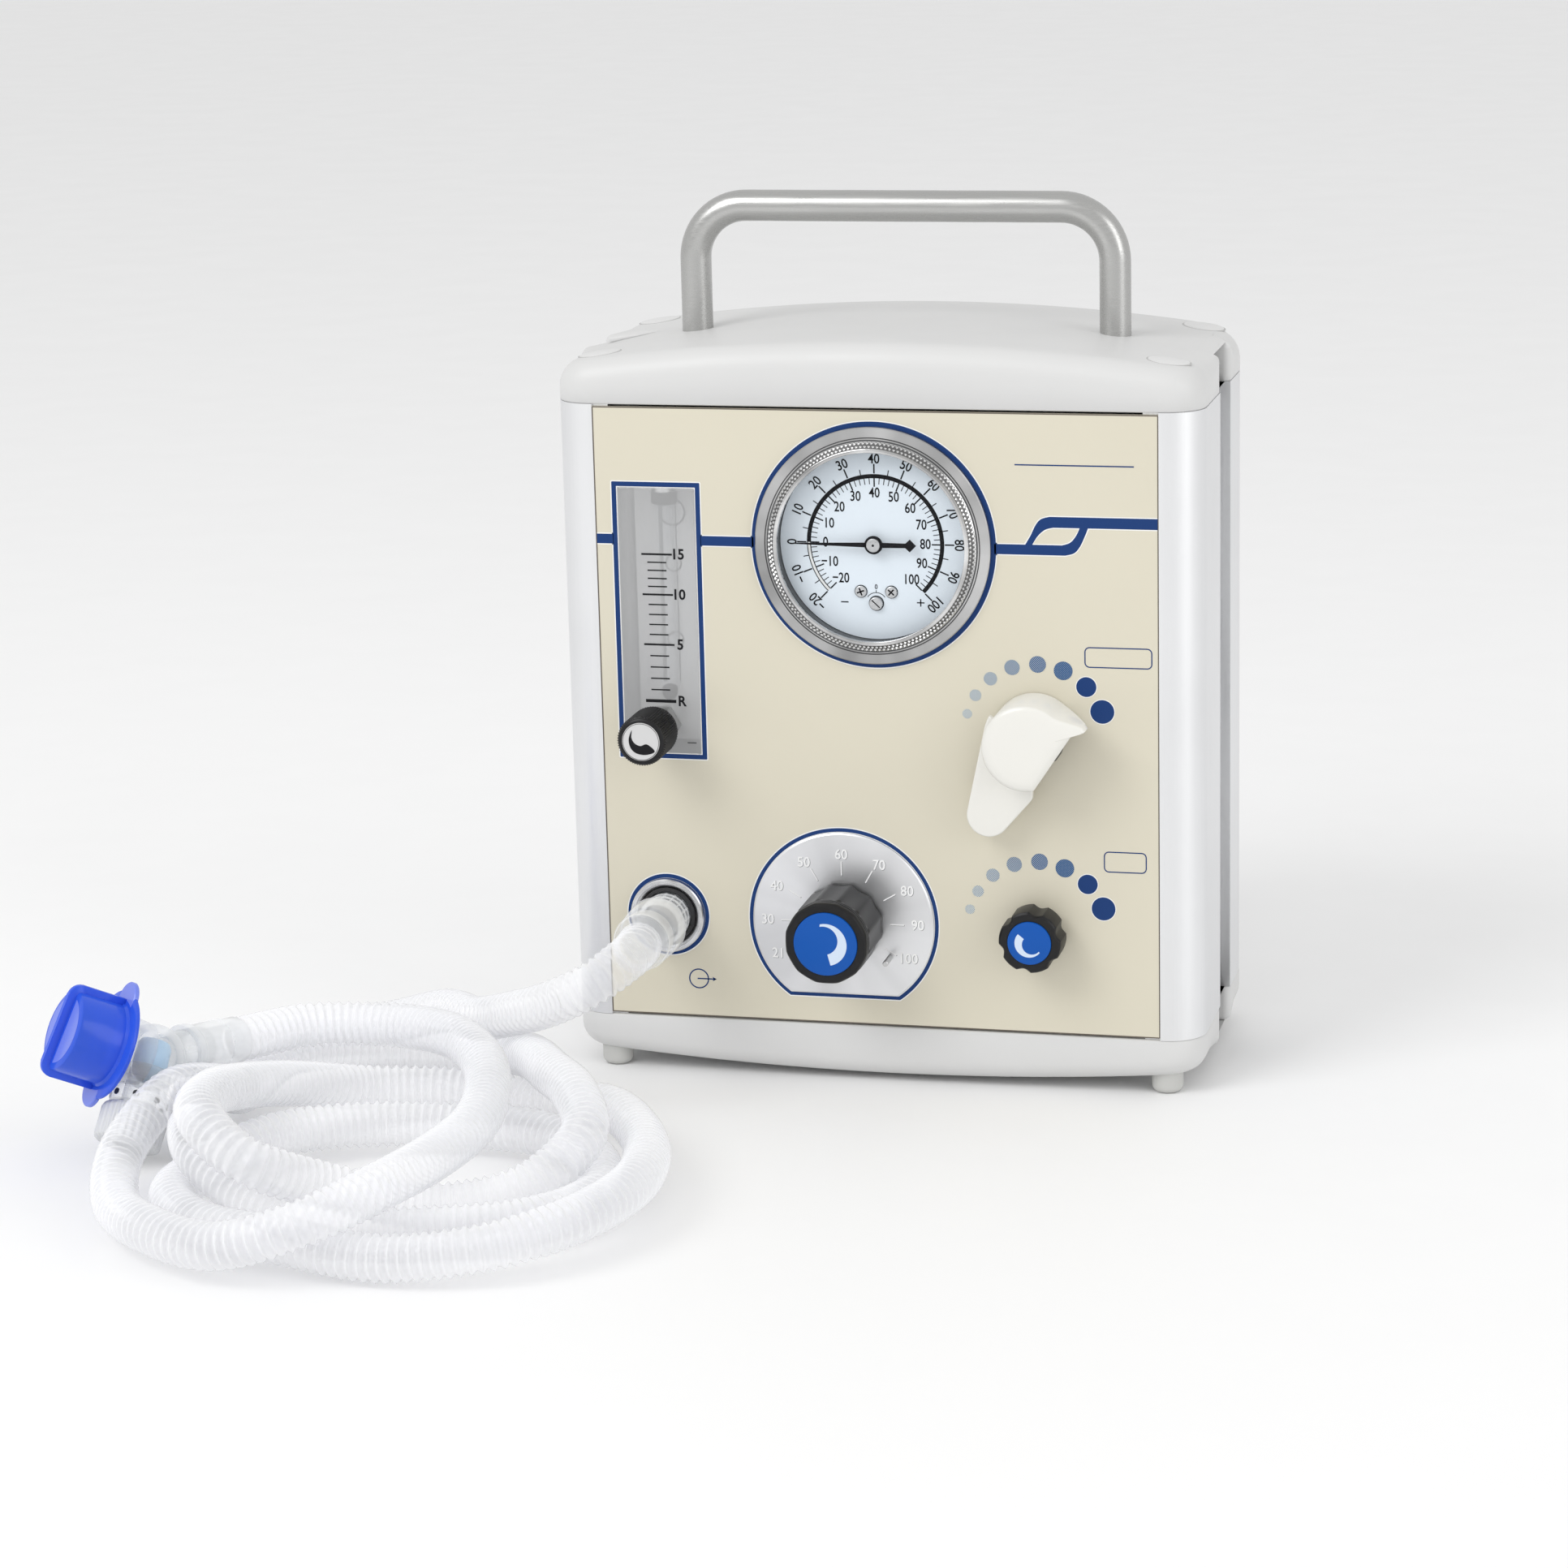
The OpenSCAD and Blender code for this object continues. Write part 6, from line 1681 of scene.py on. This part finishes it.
def makeTee(s):
    hub = Vector(s["hub"])
    r = s["hubRadius"]
    bm = bmesh.new()
    ball = [(r * math.cos(math.radians(a)), r * math.sin(math.radians(a))) for a in range(-84, 90, 6)]
    addLathe(bm, [(0, -r), *ball, (0, r)], hub, s["hose"], 64)
    addLathe(bm, s["port"], hub, s["patient"], 96, True)
    addLathe(bm, s["neck"], hub, s["valve"], 72, True)
    bore, spigot = s["bore"], s["spigot"]
    addLathe(bm, [(bore, 5.0), (spigot, 5.0), (spigot, 21.7), (spigot - 0.3, 22.0), (bore, 22.0)],
             hub, s["hose"], 72, True)
    tee = finishMesh("tee", bm, teeClear, "root")
    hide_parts("t_piece")
    inner = lathe("teeValve", s["valveDisc"], hub, paleBlue, "root", axis=s["valve"], steps=64)
    # painted shade: small dark discs on the valve neck standing in for its vent holes
    bm = bmesh.new()
    x, y, d = localFrame(s["valve"])
    for i in range(s["ports"]):
        a = 2 * math.pi * (i + 0.5) / s["ports"]
        out = x * math.cos(a) + y * math.sin(a)
        addLathe(bm, s["portHole"], hub + d * s["holesAt"], out, 20)
    holes = finishMesh("teePorts", bm, paintedBoreShade, "root")
    bm = bmesh.new()
    addLathe(bm, s["cuff"], hub, s["hose"], 72, True)
    cuff = finishMesh("hoseCuff", bm, connectorClear, "root")
    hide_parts("hose_cuff")
    # blue cap: flange with two ears, a cup, and a fin across its end
    axes = localFrame(s["patient"])
    bm = bmesh.new()
    addLathe(bm, s["cap"], hub, s["patient"], 96)
    cap = finishMesh("patientCap", bm, capBlue, "patient_cap")
    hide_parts("patient_cap")
    bm = bmesh.new()
    reach, half, top = s["fin"]
    foot, corner = s["finFoot"], s["finCorner"]
    outline = [(-reach, foot)] + arc((-reach + corner, top - corner), corner, 180, 90, 6)
    outline += arc((reach - corner, top - corner), corner, 90, 0, 6) + [(reach, foot)]
    sides = []
    for side in (-1, 1):
        points = [hub + axes[0] * px + axes[2] * pz + axes[1] * side * half for px, pz in outline]
        sides.append(addVerts(bm, points))
    addTube(bm, sides)
    bmesh.ops.bevel(bm, geom=bm.edges[:], offset=0.3 * mm, segments=2, profile=0.5, affect="EDGES")
    fin = finishMesh("patientCapFin", bm, capBlue, "patient_cap")
    bm = bmesh.new()
    offset, radius = s["ear"]
    for side in (-1, 1):
        profile = [(0, 13.4), (radius - 0.3, 13.4), (radius, 13.7), (radius, 14.8), (radius - 0.3, 15.1),
                   (0, 15.1)]
        addLathe(bm, profile, hub + axes[0] * side * offset, s["patient"], 48)
    ears = finishMesh("patientCapEars", bm, capPaleBlue, "patient_cap")
    bm = bmesh.new()
    moon = arc((0, 0), *s["moon"], 28)
    for side in (-1, 1):
        points = [hub + axes[0] * px + axes[1] * pz * side + axes[2] * s["moonTop"] for px, pz in moon]
        back = [p - axes[2] * s["moonDepth"] for p in points]
        addTube(bm, [addVerts(bm, points), addVerts(bm, back)])
    moons = finishMesh("patientCapMoons", bm, capPaleBlue, "patient_cap")
    bm = bmesh.new()
    addGrip(bm, s["valveCap"], hub, dents(28, 0.45, 9), axis=s["valve"], start=(0, 0, 1), steps=336)
    grey = finishMesh("valveCap", bm, capGrey, "peep_cap")
    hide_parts("peep_cap")
    return tee, inner, holes, cuff, cap, fin, ears, moons, grey


teePieces = makeTee(teeSettings)
print("tee made")


# stage and light

stageSettings = {
    "floor": (-4000, -3000, 4000, 5000),    # corners, millimetres
    "sky": 0.82,
    "aim": (0, 0, 0.1),                     # metres, as are the lamps' places and sizes
    "keyLight": ((-1.1, -1.5, 1.7), (1.2, 1.2), 20),
    "fillLight": ((1.8, -0.9, 0.9), (1.0, 1.6), 8),
}


def makeStage(s):
    bm = bmesh.new()
    bm.faces.new(addVerts(bm, [(x, y, 0) for x, y in boxLoop(*s["floor"])]))
    floorWhite = moulded("floorWhite", (0.93, 0.93, 0.93), 0.55, 40, 0.00001)
    floor = finishMesh("floor", bm, floorWhite, None)


def addSoftbox(name, place, target, size, power):
    data = bpy.data.lights.new(name, "AREA")
    data.shape = "RECTANGLE"
    data.size, data.size_y = size
    data.energy = power
    lamp = bpy.data.objects.new(name, data)
    bpy.context.collection.objects.link(lamp)
    lamp.location = place
    lamp.rotation_euler = (Vector(target) - Vector(place)).to_track_quat("-Z", "Y").to_euler()


def makeLight(s):
    world = bpy.data.worlds.new("studio")
    bpy.context.scene.world = world
    world.use_nodes = True
    back = world.node_tree.nodes["Background"]
    back.inputs["Color"].default_value = (1, 1, 1, 1)
    back.inputs["Strength"].default_value = s["sky"]
    for name in ("keyLight", "fillLight"):
        place, size, power = s[name]
        addSoftbox(name, place, s["aim"], size, power)
    bpy.context.scene.view_settings.view_transform = "Standard"


makeStage(stageSettings)
makeLight(stageSettings)
print("stage made")

nodeMaterials = {
    "top_cap": capPlastic, "bottom_cap": capPlastic, "left_profile": anodised, "right_profile": anodised,
    "front_panel": panelPaint, "rear_panel": rearPaint, "handle": rodSteel, "handle_nuts": zincSteel,
    "screw_plugs": plugPlastic, "tie_screws": zincSteel, "feet": footRubber,
    "gauge_flange": zincSteel, "gauge_bezel": chrome, "gauge_case": caseEnamel, "gauge_window": windowGlass,
    "gauge_dial": dialPaint, "dial_screws": zincSteel, "zero_screw": zincSteel, "gauge_needle": blackInkAndShade,
    "gauge_movement": brass, "gauge_stem": brass,
    "flow_block": acrylic, "flow_tube_plug": knobBlack, "flow_float": knobBlack, "flow_fittings": brass,
    "flow_cartridge": zincSteel, "flow_spindle": zincSteel, "flow_knob": knobBlack,
    "flow_knob_disc": discSilver,
    "scale_plate": scaleAluminium, "stop_pin": zincSteel, "fio2_spindle": zincSteel,
    "fio2_knob": knobBlack, "fio2_knob_disc": discBlue, "blender_body": machined,
    "valve_nuts": zincSteel, "maxp_valve": machined, "maxp_spindle": zincSteel, "maxp_knob": knobBlack,
    "maxp_knob_disc": discBlue, "maxp_cover": ivory, "cover_pin": zincSteel,
    "pip_valve": machined, "pip_spindle": zincSteel, "pip_knob": knobBlack, "pip_knob_disc": discBlue,
    "outlet_bezel": chrome, "outlet_seal": sealRubber, "outlet_port": machined,
    "manifold": machined, "manifold_posts": zincSteel, "riser_tubes": zincSteel,
    "oxygen_inlet": brass, "air_inlet": brass,
    "hose_connector": connectorClear, "hose": hoseClear, "hose_cuff": connectorClear, "t_piece": teeClear,
    "patient_cap": capBlue, "peep_cap": capGrey,
}
for name, material in nodeMaterials.items():
    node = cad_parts[name]
    node.data.materials.clear()
    node.data.materials.append(material)

[p * mm for p in hosePath]
